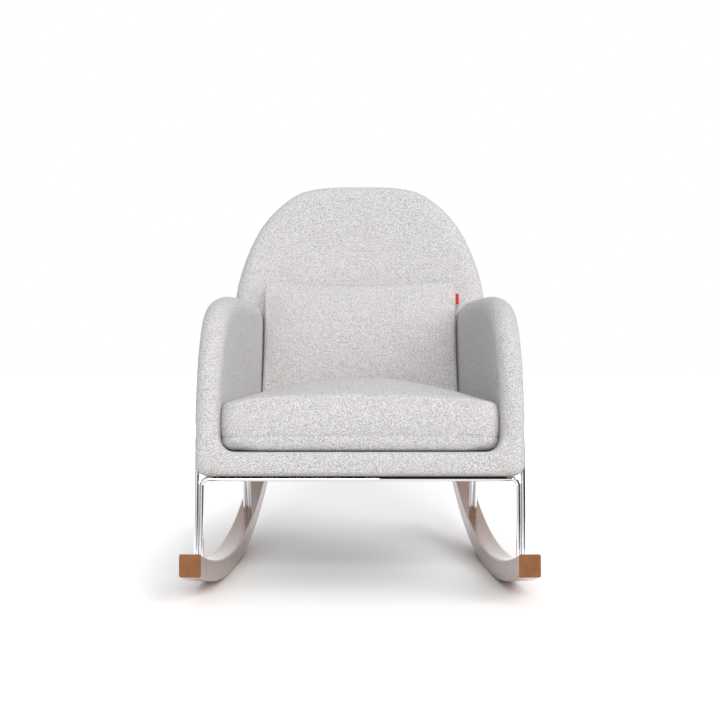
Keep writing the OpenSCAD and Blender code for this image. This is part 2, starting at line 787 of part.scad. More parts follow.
// Timber arch inside the back, with a lumbar rail and webbing straps across it
function arch_side(w) = let (o = inset(back_outline, w), k = len(back_foot_run) + len(foot_corner))
    [for (i = [k:len(o) - 1 - k]) o[i]];
function widest_at(o, z) = max([for (p = o) abs(p[1] - z) < 45 ? p[0] : 0]);
panel_slope_top = (panel_high - body_base) / cos(back_lean) + 4;
arch_outer = arch_side(edge_foam);
function leg_limit(z) = rail_half(back_plane_p(arch_rear, body_base + min(z, panel_slope_top)), panel_in)
    - arch_width * 0.8 + max(0, z - panel_slope_top - 15);
arch_inner = [for (a = arch_side(edge_foam + arch_width))
    [sign(a[0]) * min(abs(a[0]), leg_limit(a[1])), a[1]]];
arch_outer_foot = back_half_foot - edge_foam;
arch_inner_foot = min(arch_outer_foot - arch_width, leg_limit(0));
module arch_flat() {
    difference() {
        polygon(concat([[-arch_outer_foot, 0], [arch_outer_foot, 0]], arch_outer));
        polygon(concat([[-arch_inner_foot, -10], [arch_inner_foot, -10]], arch_inner));
    }
}
module back_arch() {
    color([0.80, 0.66, 0.46])
        tilt()
            difference() {
                lean_back()
                    translate([0, arch_front, -20])
                        rotate([90, 0, 0])
                            mirror([0, 0, 1])
                                linear_extrude(arch_depth)
                                    translate([0, 20])
                                        arch_flat();
                translate([-500, back_foot - 200, body_base - 100])
                    cube([1000, 400, 100]);
                both_sides() {
                    side_plane()
                        translate([panel_in, along(back_foot) - 80, body_base - 10])
                            cube([90, 240, panel_high - body_base + 11]);
                    arch_bolt_lines(bolt_d + 0.4, -arch_bolt_grip - 60, -panel_thick + 2);
                    arch_bolt_lines(bolt_d * 2.1, -arch_bolt_grip - 60, -arch_bolt_grip);
                }
            }
}
module lumbar_rail() {
    half = arch_inner_foot - 0.3;
    color([0.80, 0.66, 0.46])
        tilt()
            difference() {
                lean_back()
                    translate([-half, arch_front, lumbar_rail_z])
                        cube([2 * half, arch_depth, lumbar_rail_high]);
                rear_bar_screws()
                    bar_screw_line(bar_screw);
            }
}
back_strap_z = [150, 262, 374, 486];
function strap_half(z) = min(widest_at(arch_outer, z) - 8, widest_at(arch_outer, z + strap_width) - 8,
    z > panel_slope_top ? back_half
        : rail_half(back_plane_p(arch_front, body_base + z + strap_width), panel_in) - 3);
module back_webbing() {
    color([0.20, 0.20, 0.22])
        tilt()
            lean_back()
                for (z = back_strap_z)
                    let (x = strap_half(z))
                        translate([-x, arch_front - strap_thick, z])
                            cube([2 * x, strap_thick, strap_width]);
}

// Bolts that hold the panels to the rails and to the arch, and screws that hold the side bars
module bolt_set(grip) {
    translate([0, 0, -grip - 10])
        cylinder(h = grip + 10, d = bolt_d);
    cylinder(h = 1.6, d = bolt_d * 2.2);
    translate([0, 0, 1.6])
        cylinder(h = 4, d = bolt_d * 1.6);
    translate([0, 0, -grip - 6.5])
        cylinder(h = 6.5, d = bolt_d * 1.7, $fn = 6);
}
module frame_bolts() {
    color([0.70, 0.70, 0.72])
        tilt()
            both_sides()
                side_plane()
                    for (p = bolt_p)
                        translate([panel_out, along(p), bolt_q])
                            rotate([0, 90, 0])
                                bolt_set(panel_thick + rail_thick);
}
module arch_bolts() {
    color([0.70, 0.70, 0.72])
        tilt()
            both_sides()
                side_plane()
                    for (z = arch_bolt_q)
                        let (q = body_base + z, p = back_plane_p(arch_bolt_y, q))
                            translate([panel_out, along(p), q])
                                rotate([0, 90, 0])
                                    bolt_set(arch_bolt_grip);
}
module side_screw_set(d, head) {
    for (p = side_screw_p)
        side_screw_line(p) {
            translate([0, 0, bar / 2 - side_screw_reach])
                cylinder(h = side_screw_reach + side_gap + side_foam + panel_thick, d = d);
            translate([0, 0, bar / 2 + side_gap + side_foam + panel_thick])
                cylinder(h = 3, d = head);
        }
}
module side_screws() {
    color([0.55, 0.55, 0.57])
        tilt()
            both_sides()
                side_screw_set(foot_screw, screw_head_d);
}

// Padding and cover of the front rail, between the arms
module front_pad() {
    r = 12;
    d = web_from - 4 - body_front;
    half = inner_x(body_front + d) - 0.1;
    color([0.84, 0.83, 0.82])
        tilt()
            difference() {
                translate([half, 0, 0])
                    rotate([90, 0, -90])
                        linear_extrude(2 * half)
                            union() {
                                translate([-body_front - r, body_base + r])
                                    circle(r = r);
                                translate([-body_front - r, deck_top - r])
                                    circle(r = r);
                                translate([-body_front - d, body_base])
                                    square([d - r, deck_top - body_base]);
                                translate([-body_front - r, body_base + r])
                                    square([r, deck_top - body_base - 2 * r]);
                            }
                translate([-400, front_rail_p, body_base - 1])
                    cube([800, 100, rail_height + 1 + 2 * strap_thick]);
                translate([-400, front_rail_p - 2.3, web_top - 0.1])
                    cube([800, 100, 40]);
            }
}

// Padding and cover of the arms
module pad_hollows() {
    right_panel_raw();
    bolt_lines(bolt_d * 2.2 + 0.4, panel_out - 1, panel_out + 6);
    arch_bolt_lines(bolt_d * 2.2 + 0.4, -1, 8);
    side_screw_set(foot_screw + 0.6, screw_head_d + 0.6);
    for (p = side_screw_p)
        side_screw_line(p)
            cylinder(h = side_gap + side_foam + 6, d = foot_screw + 0.6);
    // room for the side bar where the arm swells out above it
    side_plane()
        translate([-bar / 2 - 0.4, along(front_rail_p), side_bar_height - bar / 2 - 0.4])
            cube([bar, 900, bar + 0.8]);
    // room for the rails and the deck inside the arm
    side_plane()
        translate([rail_in - 80, along(front_rail_p), body_base - 1])
            cube([80 + rail_thick + 0.1, 900, rail_height + 1 + 2 * strap_thick]);
    translate([0, front_rail_p - 2.1, web_top - 0.1])
        cube([deck_half(front_rail_p) + 0.6, 900, deck_thick + 0.1]);
}
module right_arm_pad_solid() {
    tilt()
        difference() {
            arm_form();
            pad_hollows();
            back_form(0.3);
            translate([0, back_foot, body_base])
                rotate([-back_lean, 0, 0])
                    translate([-100, -14, -200])
                        cube([600, 400, 1200]);
        }
}
module right_arm_pad() {
    color([0.84, 0.83, 0.82])
        right_arm_pad_solid();
}
module left_arm_pad() {
    color([0.84, 0.83, 0.82])
        mirror([1, 0, 0])
            right_arm_pad_solid();
}

// Padding and cover of the back: a pocket from the rear takes the arch, and a board closes it
outside_in = back_round + 1;
module back_pocket(from, to, o, foot, low) {
    lean_back()
        translate([0, from, 0])
            rotate([90, 0, 0])
                mirror([0, 0, 1])
                    linear_extrude(to - from)
                        polygon(concat([[-foot, low], [foot, low]], o));
}
module back_pad() {
    color([0.84, 0.83, 0.82])
        tilt()
            difference() {
                back_form();
                back_pocket(arch_front - strap_thick, arch_rear, arch_outer, arch_outer_foot, -40);
                back_pocket(arch_rear - 1, arch_rear + 40, outside_outline, arch_outer_foot - 20, -40);
                both_sides()
                    side_plane()
                        translate([panel_in - 1, 0, 0])
                            rotate([90, 0, 90])
                                linear_extrude(panel_thick + 1)
                                    polygon([for (a = [[back_foot - 90, body_base - 40],
                                        [back_plane_p(panel_rear, body_base - 40), body_base - 40],
                                        [back_plane_p(panel_rear, panel_high), panel_high],
                                        [back_foot - 90, panel_high]]) [along(a[0]), a[1]]]);
                both_sides() {
                    arch_bolt_lines(bolt_d * 2.2 + 0.4, -1, 8);
                    arch_bolt_lines(bolt_d + 0.4, -panel_thick - 20, 2);
                }
                translate([-400, back_foot - 120, body_base - 60])
                    cube([800, 300, 60]);
                translate([-deck_half(back_foot) - 40, back_foot - 120, body_base - 20])
                    cube([2 * deck_half(back_foot) + 80, back_plane_p(arch_front, deck_top) + 122 - back_foot,
                        deck_top - body_base + 20.2]);
            }
}
outside_outline = arch_side(outside_in);
module outside_back() {
    color([0.78, 0.77, 0.76])
        tilt()
            difference() {
                back_pocket(arch_rear, arch_rear + outside_panel, outside_outline, arch_outer_foot - 20, 10);
                rear_bar_screws()
                    bar_screw_line(bar_screw + 0.4);
            }
}

// Black cloth stapled under the seat
module under_seat_cloth() {
    p0 = front_rail_p - 8;
    p1 = back_plane_p(arch_rear, body_base) + 4;
    color([0.10, 0.10, 0.10])
        tilt()
            difference() {
                translate([0, 0, cloth_low])
                    linear_extrude(under_cloth)
                        polygon([[-rail_half(p0, panel_out), p0], [rail_half(p0, panel_out), p0],
                            [rail_half(p1, panel_in), p1], [-rail_half(p1, panel_in), p1]]);
                front_bar_screws()
                    bar_screw_line(bar_screw + 0.4);
            }
}

// Loose seat cushion: flat below, drawn in at its two seams, bulged between them and crowned on top
cushion_p0 = body_front + cushion_setback + cushion_bulge;
cushion_p1 = cushion_p0 + cushion_length;
function cushion_half(p) = inner_x(p) - cushion_gap;
cf = cushion_half(cushion_p0);
cr = cushion_half(cushion_p1);
cc = cushion_corner;
cushion_outline = concat(
    [for (t = [0, 0.33, 0.66, 1]) [mix(-cf + cc, cf - cc, t), cushion_p0]],
    [for (a = [-67.5, -45, -22.5]) [cf - cc + cc * cos(a), cushion_p0 + cc + cc * sin(a)]],
    [for (t = [0, 0.2, 0.4, 0.6, 0.8, 1]) let (p = mix(cushion_p0 + cc, cushion_p1 - cc * 0.6, t))
        [cushion_half(p), p]],
    [for (a = [22.5, 45, 67.5]) [cr - cc * 0.6 + cc * 0.6 * cos(a),
        cushion_p1 - cc * 0.6 + cc * 0.6 * sin(a)]],
    [for (t = [1, 0.66, 0.33, 0]) [mix(-cr + cc * 0.6, cr - cc * 0.6, t), cushion_p1]],
    [for (a = [112.5, 135, 157.5]) [-cr + cc * 0.6 + cc * 0.6 * cos(a),
        cushion_p1 - cc * 0.6 + cc * 0.6 * sin(a)]],
    [for (t = [1, 0.8, 0.6, 0.4, 0.2, 0]) let (p = mix(cushion_p0 + cc, cushion_p1 - cc * 0.6, t))
        [-cushion_half(p), p]],
    [for (a = [202.5, 225, 247.5]) [-cf + cc + cc * cos(a), cushion_p0 + cc + cc * sin(a)]]
);
cushion_mid = [0, mix(cushion_p0, cushion_p1, 0.5)];
// How far a point of the outline lies along its side, 1 in the middle and 0 at the corners
function puff(a) = max(0, 1 - pow(abs(a[0]) / cf, 3)) * (a[1] < cushion_p0 + cc ? 1 : 0.35)
    + (a[1] < cushion_p0 + cc ? 0 : 0.5) * max(0, 1 - pow(abs(a[1] - cushion_mid[1]) / (cushion_length / 2), 2));
n_cushion = len(cushion_outline);
seam_low = 30;
side_rings = [[16, 0], [7, 3], [3, 12], [2.5, seam_low - 4], [4.5, seam_low], [2, seam_low + 5],
    [0, 0.6 * cushion_side], [1.5, cushion_side - 6], [4.5, cushion_side], [5, cushion_side + 5]];
function front_share(a) = smooth((cushion_p0 + cc * 0.8 - a[1]) / (cc * 0.8));
function cushion_point(i, w, z) = let (o = cushion_outline, a = o[i] + inward(o, i) * w,
    lift = z > seam_low + 8 ? 16 * puff(o[i]) * (z - seam_low - 8) / (cushion_side - seam_low - 8)
        : 3 * puff(o[i]) * z / seam_low,
    b = cushion_bulge * front_share(o[i]) * sin(180 * min(1, z / (cushion_side + 12))))
    [a[0], a[1] - b, deck_top + 0.3 + z + lift];
crown_rings = [0.93, 0.82, 0.66, 0.46, 0.24];
function fall(t, k) = max(0, 1 - pow(abs(t), k));
function crown_share(x, y) = fall(x / cushion_half(y), 2.1) * fall((y - cushion_mid[1]) / cushion_length * 2, 2.4);
cushion_points = concat(
    [[cushion_mid[0], cushion_mid[1], deck_top + 0.3]],
    [for (g = [0.5], i = [0:n_cushion - 1]) let (a = mix(cushion_mid, cushion_outline[i], g))
        [a[0], a[1], deck_top + 0.3]],
    [for (s = side_rings, i = [0:n_cushion - 1]) cushion_point(i, s[0], s[1])],
    [for (g = crown_rings, i = [0:n_cushion - 1])
        let (edge = cushion_point(i, 5, cushion_side + 5), top = deck_top + cushion_side + cushion_crown,
            a = mix(cushion_mid, edge, g))
            [a[0], a[1], mix(edge[2], top, crown_share(a[0], a[1]))]],
    [[cushion_mid[0], cushion_mid[1], deck_top + cushion_side + cushion_crown]]
);
module seat_cushion() {
    color([0.88, 0.87, 0.86])
        tilt()
            polyhedron(cushion_points, ring_faces(n_cushion, 1 + len(side_rings) + len(crown_rings)));
}

// Loose lumbar pillow: two crowned panels that meet in a thin seam, with the corners drawn out
pw = pillow_width / 2;
ph = pillow_height / 2;
edge_n = 7;
function side_dip(t) = 1 - pow(abs(2 * t - 1), 2.2);
pillow_outline = concat(
    [for (i = [0:edge_n]) let (t = i / (edge_n + 1)) [mix(-pw, pw, t), -ph + 7 * side_dip(t)]],
    [for (i = [0:4]) let (t = i / 5) [pw - 4 * side_dip(t), mix(-ph, ph, t)]],
    [for (i = [0:edge_n]) let (t = i / (edge_n + 1)) [mix(pw, -pw, t), ph - 15 * side_dip(t)]],
    [for (i = [0:4]) let (t = i / 5) [-pw + 4 * side_dip(t), mix(ph, -ph, t)]]
);
pillow_outline_round = [for (i = [0:len(pillow_outline) - 1])
    let (o = pillow_outline, n = len(o), a = o[i], corner = abs(abs(a[0]) - pw) < 1 && abs(abs(a[1]) - ph) < 1)
        corner ? mix(a, (o[(i + 1) % n] + o[(i + n - 1) % n]) / 2, 0.18) : a];
n_pillow = len(pillow_outline_round);
pillow_rings = [0.3, 0.55, 0.75, 0.88, 0.96, 1];
function swell(a) = pow(fall(a[0] / pw, 2.6) * fall(a[1] / ph, 2.2), 0.5);
pillow_front = pillow_thick * 0.62;
pillow_rear = pillow_thick * 0.38;
seam_half = 2;
pillow_points = concat(
    [[0, -pillow_front, 0]],
    [for (g = pillow_rings, i = [0:n_pillow - 1]) let (a = pillow_outline_round[i] * g)
        [a[0], -mix(seam_half, pillow_front, g == 1 ? 0 : swell(a)), a[1]]],
    [for (k = [len(pillow_rings) - 1:-1:0], i = [0:n_pillow - 1])
        let (g = pillow_rings[k], a = pillow_outline_round[i] * g)
            [a[0], mix(seam_half, pillow_rear, g == 1 ? 0 : swell(a)), a[1]]],
    [[0, pillow_rear, 0]]
);
module pillow_place() {
    lean_back()
        translate([0, -back_thick / 2 + back_dish - pillow_gap - pillow_rear,
            (deck_top - body_base + pillow_lift) / cos(back_lean) + ph])
            children();
}
module lumbar_pillow() {
    color([0.88, 0.87, 0.86])
        tilt()
            pillow_place()
                polyhedron(pillow_points, ring_faces(n_pillow, 2 * len(pillow_rings)));
}
label_z = ph - 62;
label_thick = 1.2;
pillow_side = [for (i = [edge_n + 1:edge_n + 6]) [pillow_outline_round[i][1], pillow_outline_round[i][0]]];
function pillow_edge(z) = lookup(z, pillow_side) + 0.1;
module side_label() {
    color([0.72, 0.05, 0.08])
        tilt()
            pillow_place()
                translate([0, label_thick / 2, 0])
                    rotate([90, 0, 0])
                        linear_extrude(label_thick)
                            polygon([[pillow_edge(label_z), label_z],
                                [pw - 5 + label_width, label_z], [pw - 5 + label_width, label_z + label_height],
                                [pillow_edge(label_z + label_height), label_z + label_height]]);
}

// Every piece stands with the chair's middle over the origin
module stand() {
    translate([0, -overall_depth / 2, 0])
        children();
}

stand()
        right_rocker();
stand()
        left_rocker();
stand()
        foot_screws();
stand()
        front_hoop();
stand()
        rear_hoop();
stand()
        right_side_hoop();
stand()
        left_side_hoop();
stand()
        bar_screws();
stand()
        front_rail();
stand()
        right_side_rail();
stand()
        left_side_rail();
stand()
        rear_rail();
stand()
        corner_blocks();
stand()
        seat_webbing_long();
stand()
        seat_webbing_cross();
stand()
        deck_pad();
stand()
        right_arm_panel();
stand()
        left_arm_panel();
stand()
        back_arch();
stand()
        lumbar_rail();
stand()
        back_webbing();
stand()
        frame_bolts();
stand()
        arch_bolts();
stand()
        side_screws();
stand()
        front_pad();
stand()
        right_arm_pad();
stand()
        left_arm_pad();
stand()
        back_pad();
stand()
        outside_back();
stand()
        under_seat_cloth();
stand()
        seat_cushion();
stand()
        lumbar_pillow();
stand()
        side_label();
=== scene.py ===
import bpy, bmesh, math
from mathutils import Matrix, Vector


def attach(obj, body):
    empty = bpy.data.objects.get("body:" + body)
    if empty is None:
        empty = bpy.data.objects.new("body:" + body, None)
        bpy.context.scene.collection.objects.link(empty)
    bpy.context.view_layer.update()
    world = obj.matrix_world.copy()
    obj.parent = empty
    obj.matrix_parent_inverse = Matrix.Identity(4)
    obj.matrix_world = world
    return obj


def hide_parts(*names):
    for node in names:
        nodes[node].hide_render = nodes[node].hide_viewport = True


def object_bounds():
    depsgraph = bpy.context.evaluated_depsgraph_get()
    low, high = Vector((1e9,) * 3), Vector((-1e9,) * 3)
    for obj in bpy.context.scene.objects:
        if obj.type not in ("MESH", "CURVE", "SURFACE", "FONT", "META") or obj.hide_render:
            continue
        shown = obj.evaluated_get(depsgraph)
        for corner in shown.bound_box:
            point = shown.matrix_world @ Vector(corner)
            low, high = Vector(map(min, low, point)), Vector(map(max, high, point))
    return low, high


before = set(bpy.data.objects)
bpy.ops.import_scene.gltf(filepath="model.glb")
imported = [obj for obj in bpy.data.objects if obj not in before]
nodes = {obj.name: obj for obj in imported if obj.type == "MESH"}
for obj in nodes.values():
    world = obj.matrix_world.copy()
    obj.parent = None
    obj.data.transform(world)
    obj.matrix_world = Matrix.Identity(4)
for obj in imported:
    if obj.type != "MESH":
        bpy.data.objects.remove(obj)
cad_low, cad_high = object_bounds()

# The room: a plain white studio floor under a white sky, a broad soft light from the right and a
# narrower one from the front, and dark boards round the room that only polished metal reflects.
# The camera stands level in front of the rockers, a little above the seat.
half_depth = (cad_high.y - cad_low.y) / 2
eye_distance = 2.450
eye_height = 0.552
picture_side = 720
picture_drop = 25
camera_data = bpy.data.cameras.new("studio_camera")
camera_data.sensor_width = 36
camera_data.lens = 60.33
camera_data.shift_y = -picture_drop / picture_side
camera_data.clip_end = 200
studio_camera = bpy.data.objects.new("studio_camera", camera_data)
studio_camera.location = (0, -half_depth - eye_distance, eye_height)
studio_camera.rotation_euler = (math.radians(90), 0, 0)
bpy.context.scene.collection.objects.link(studio_camera)
bpy.context.scene.camera = studio_camera
bpy.context.scene.view_settings.view_transform = "Standard"


class Wiring:
    """A short way to place nodes in a material or group and join them up."""

    def __init__(self, tree):
        self.tree = tree

    def node(self, kind, inputs=None, **settings):
        """Adds a node. Inputs are values or other nodes' sockets."""
        made = self.tree.nodes.new(kind)
        for name, value in settings.items():
            setattr(made, name, value)
        for name, value in (inputs or {}).items():
            socket = made.inputs[name]
            if isinstance(value, bpy.types.NodeSocket):
                self.tree.links.new(value, socket)
            else:
                socket.default_value = value
        return made

    def math(self, operation, a, b=0.0, clamp=False):
        made = self.node("ShaderNodeMath", {0: a, 1: b}, operation=operation)
        made.use_clamp = clamp
        return made.outputs[0]

    def join(self, value, socket):
        self.tree.links.new(value, socket)

    def mix(self, factor, a, b, blend="MIX"):
        made = self.node("ShaderNodeMix", {0: factor, 6: a, 7: b}, data_type="RGBA", blend_type=blend)
        return made.outputs[2]

    def between(self, value, low, high, out_low=0.0, out_high=1.0):
        """Turns the span from low to high into a soft step from out_low to out_high."""
        return self.node("ShaderNodeMapRange", {0: value, 1: low, 2: high, 3: out_low, 4: out_high},
                         interpolation_type="SMOOTHSTEP").outputs[0]


def new_material(name):
    material = bpy.data.materials.new(name)
    material.use_nodes = True
    wires = Wiring(material.node_tree)
    return material, wires, material.node_tree.nodes["Principled BSDF"]


def grey(tone):
    return tone, tone, tone, 1


sky = bpy.data.worlds.new("white_sky")
bpy.context.scene.world = sky
sky.use_nodes = True
sky.node_tree.nodes.clear()
wires = Wiring(sky.node_tree)
rays = wires.node("ShaderNodeLightPath")
mirrored = wires.math("MAXIMUM", rays.outputs["Is Glossy Ray"], rays.outputs["Is Transmission Ray"])
shown = wires.math("MAXIMUM", rays.outputs["Is Camera Ray"], mirrored)
dim = wires.node("ShaderNodeBackground", {"Color": (0.975, 0.985, 1.0, 1), "Strength": 0.49})
white = wires.node("ShaderNodeBackground", {"Color": grey(1), "Strength": 1.0})
mixed = wires.node("ShaderNodeMixShader", {0: shown, 1: dim.outputs[0], 2: white.outputs[0]})
wires.node("ShaderNodeOutputWorld", {"Surface": mixed.outputs[0]})

for label, energy, spread, toward in (("soft_key", 1.18, 46, (0.70, -0.50, 0.50)),
                                      ("soft_front", 1.54, 22, (0.03, -0.90, 0.43))):
    lamp = bpy.data.lights.new(label, "SUN")
    lamp.energy = energy
    lamp.angle = math.radians(spread)
    lamp.color = (1.0, 0.985, 0.965)
    stand = bpy.data.objects.new(label, lamp)
    stand.rotation_euler = Vector(toward).to_track_quat("Z", "Y").to_euler()
    bpy.context.scene.collection.objects.link(stand)


def mesh_piece(name, points, faces):
    data = bpy.data.meshes.new(name)
    data.from_pydata([tuple(v) for v in points], [], faces)
    data.update()
    data.polygons.foreach_set("use_smooth", [True] * len(data.polygons))
    piece = bpy.data.objects.new(name, data)
    bpy.context.scene.collection.objects.link(piece)
    return piece


reach = 14
floor_corners = [(-reach, -reach, 0), (reach, -reach, 0), (reach, reach, 0), (-reach, reach, 0)]
studio_floor = mesh_piece("studio_floor", floor_corners, [(0, 1, 2, 3)])
# The floor is painted lighter beside the chair, so that the shadow stays under and behind it.
floor_paint, wires, shader = new_material("floor_paint")
rays = wires.node("ShaderNodeLightPath")
shown = wires.math("MAXIMUM", rays.outputs["Is Camera Ray"], rays.outputs["Is Glossy Ray"])
place = wires.node("ShaderNodeTexCoord")
axes = wires.node("ShaderNodeSeparateXYZ", {0: place.outputs["Object"]})
beside = wires.between(wires.math("ABSOLUTE", axes.outputs[0]), 0.38, 0.60)
bright = wires.mix(beside, grey(1.30), grey(1.62))
wires.join(wires.mix(shown, grey(0.80), bright), shader.inputs["Base Color"])
shader.inputs["Roughness"].default_value = 1.0
shader.inputs["Specular IOR Level"].default_value = 0.0
studio_floor.data.materials.append(floor_paint)

board_foot = 0.02
board_top = 2.6
board_paint, wires, shader = new_material("board_paint")
shader.inputs["Base Color"].default_value = grey(0.004)
shader.inputs["Roughness"].default_value = 1.0
shader.inputs["Specular IOR Level"].default_value = 0.0
for label, (x, y), half, turn in (("left", (-2.6, -1.5), 0.60, 62), ("right", (2.46, -2.43), 1.60, -47),
                                  ("camera", (0.55, -4.2), 0.45, 0), ("far_left", (-2.4, 1.6), 0.6, 120),
                                  ("side_right", (2.95, -0.10), 0.95, -90)):
    c, s = math.cos(math.radians(turn)), math.sin(math.radians(turn))
    start = (x - half * c, y + half * s)
    stop = (x + half * c, y - half * s)
    corners = [(*start, board_foot), (*stop, board_foot), (*stop, board_top), (*start, board_top)]
    board = mesh_piece("dark_board_" + label, corners, [(0, 1, 2, 3)])
    board.data.materials.append(board_paint)
    board.visible_camera = False
    board.visible_diffuse = False
    board.visible_shadow = False

# Rockers: two lengths of walnut bent to a long arc and oiled to a satin finish. The grain runs along
# the arc, so the sides show long streaks. The sawn ends drink in the oil and stay darker and dull.
rocker_radius = 1.285
rocker_balance = 0.390
flat_half = 0.060
arc_centre_y = rocker_balance - half_depth
arc_centre_z = math.sqrt(rocker_radius ** 2 - flat_half ** 2)


def new_group(name, numbers, outputs):
    """A node group with number inputs, given as name and value, and outputs given as name and kind."""
    tree = bpy.data.node_groups.new(name, "ShaderNodeTree")
    for label, value in numbers:
        socket = tree.interface.new_socket(label, in_out="INPUT", socket_type="NodeSocketFloat")
        socket.default_value = value
    for label, kind in outputs:
        tree.interface.new_socket(label, in_out="OUTPUT", socket_type="NodeSocket" + kind)
    wires = Wiring(tree)
    return tree, wires, wires.node("NodeGroupInput"), wires.node("NodeGroupOutput")


def use_group(wires, tree, **numbers):
    """Places a group with its own numbers. A socket's name has spaces where the number's has underlines."""
    made = wires.node("ShaderNodeGroup")
    made.node_tree = tree
    for label, value in numbers.items():
        made.inputs[label.replace("_", " ")].default_value = value
    return made


grain_group, wires, given, out = new_group(
    "walnut_grain", [("Streaks Across", 95.0), ("Pores Across", 1100.0)],
    [("Tone", "Float"), ("Pores", "Float"), ("Height", "Float")])
place = wires.node("ShaderNodeTexCoord")
axes = wires.node("ShaderNodeSeparateXYZ", {0: place.outputs["Object"]})
back = wires.math("SUBTRACT", axes.outputs[1], arc_centre_y)
down = wires.math("SUBTRACT", arc_centre_z, axes.outputs[2])
length = wires.math("MULTIPLY", wires.math("ARCTAN2", back, down), rocker_radius)
depth = wires.math("SQRT", wires.math("ADD", wires.math("MULTIPLY", back, back),
                                      wires.math("MULTIPLY", down, down)))


def grain_noise(across, along, deep, detail, rough, twist=0.0):
    """Noise stretched along the bent boards: across the rocker, along its arc and through its depth."""
    stretched = wires.node("ShaderNodeCombineXYZ", {
        0: wires.math("MULTIPLY", axes.outputs[0], across), 1: wires.math("MULTIPLY", length, along),
        2: wires.math("MULTIPLY", depth, deep)})
    return wires.node("ShaderNodeTexNoise", {"Vector": stretched.outputs[0], "Scale": 1.0, "Detail": detail,
                                            "Roughness": rough, "Distortion": twist}).outputs[0]


broad = grain_noise(26.0, 1.6, 30.0, 3.0, 0.5, 0.4)
streak = grain_noise(given.outputs[0], 3.5, 60.0, 5.0, 0.6, 0.25)
lines = wires.math("FRACT", wires.math("ADD", wires.math("MULTIPLY", axes.outputs[0], 210.0),
                                       wires.math("MULTIPLY", broad, 3.0)))
rings = wires.between(wires.math("ABSOLUTE", wires.math("SUBTRACT", lines, 0.5)), 0.10, 0.5, 0.0, 1.0)
tone = wires.math("ADD", wires.math("MULTIPLY", broad, 0.52), wires.math("MULTIPLY", streak, 0.40))
tone = wires.math("ADD", tone, wires.math("MULTIPLY", rings, 0.08), clamp=True)
pores = wires.between(grain_noise(given.outputs[1], 24.0, 700.0, 2.0, 0.5), 0.60, 0.72)
wires.join(tone, out.inputs["Tone"])
wires.join(pores, out.inputs["Pores"])
wires.join(wires.math("SUBTRACT", wires.math("MULTIPLY", streak, 0.3), pores), out.inputs["Height"])


def bumped(wires, shader, strength, distance, height):
    bump = wires.node("ShaderNodeBump", {"Strength": strength, "Distance": distance, "Height": height})
    wires.join(bump.outputs[0], shader.inputs["Normal"])


walnut, wires, shader = new_material("oiled_walnut")
grain = use_group(wires, grain_group)
ramp = wires.node("ShaderNodeValToRGB", {0: grain.outputs["Tone"]})
ramp.color_ramp.elements[0].position = 0.28
ramp.color_ramp.elements[0].color = (0.120, 0.036, 0.012, 1)
ramp.color_ramp.elements[1].position = 0.78
ramp.color_ramp.elements[1].color = (0.330, 0.135, 0.056, 1)
ramp.color_ramp.elements.new(0.52).color = (0.240, 0.082, 0.030, 1)
geometry = wires.node("ShaderNodeNewGeometry")
# Sharply bent edges are found here and painted a lighter brown below: a painted highlight along the rounded
# edges.
edge = wires.between(geometry.outputs["Pointiness"], 0.51, 0.56)
colour = wires.mix(wires.math("MULTIPLY", grain.outputs["Pores"], 0.55), ramp.outputs[0],
                   (0.060, 0.026, 0.015, 1))
colour = wires.mix(wires.math("MULTIPLY", edge, 0.25), colour, (0.40, 0.19, 0.09, 1))
facing = wires.node("ShaderNodeSeparateXYZ", {0: geometry.outputs["Normal"]})
cut_end = wires.between(wires.math("ABSOLUTE", facing.outputs[1]), 0.80, 0.90)
colour = wires.mix(cut_end, colour, (0.87, 0.82, 0.50, 1), "MULTIPLY")
wires.join(colour, shader.inputs["Base Color"])
wires.join(wires.math("ADD", 0.30, wires.math("MULTIPLY", grain.outputs["Pores"], 0.22)),
           shader.inputs["Roughness"])
wires.join(wires.math("SUBTRACT", 1.0, cut_end), shader.inputs["Coat Weight"])
bumped(wires, shader, 0.35, 0.0004, grain.outputs["Height"])
shader.inputs["Coat Roughness"].default_value = 0.16


def finish_with(material, *names):
    """Gives the carried over pieces of the frame their finish."""
    for name in names:
        data = nodes[name].data
        data.materials.clear()
        data.materials.append(material)


finish_with(walnut, "right_rocker", "left_rocker")

# Base: four lengths of 10 mm round steel bar, cold bent and chromed. One hoop crosses under the seat's
# front, one behind the back and two run up the sides, so each foot is a pair of bars in its rocker.
polish_group, wires, given, out = new_group(
    "rubbed_metal", [("Mark Size", 260.0)], [("Marks", "Float"), ("Height", "Float")])
place = wires.node("ShaderNodeTexCoord")
soft_marks = wires.node("ShaderNodeTexNoise", {"Vector": place.outputs["Object"], "Scale": given.outputs[0],
                                              "Detail": 4.0, "Roughness": 0.65}).outputs[0]
wires.join(soft_marks, out.inputs["Marks"])
wires.join(soft_marks, out.inputs["Height"])

chrome, wires, shader = new_material("bright_chrome")
marks = use_group(wires, polish_group, Mark_Size=140.0)
wires.join(wires.mix(wires.between(marks.outputs["Marks"], 0.35, 0.7), (0.83, 0.84, 0.86, 1),
                     (0.78, 0.79, 0.81, 1)), shader.inputs["Base Color"])
wires.join(wires.between(marks.outputs["Marks"], 0.4, 0.75, 0.010, 0.030), shader.inputs["Roughness"])
shader.inputs["Metallic"].default_value = 1.0
finish_with(chrome, "front_hoop", "rear_hoop", "right_side_hoop", "left_side_hoop")

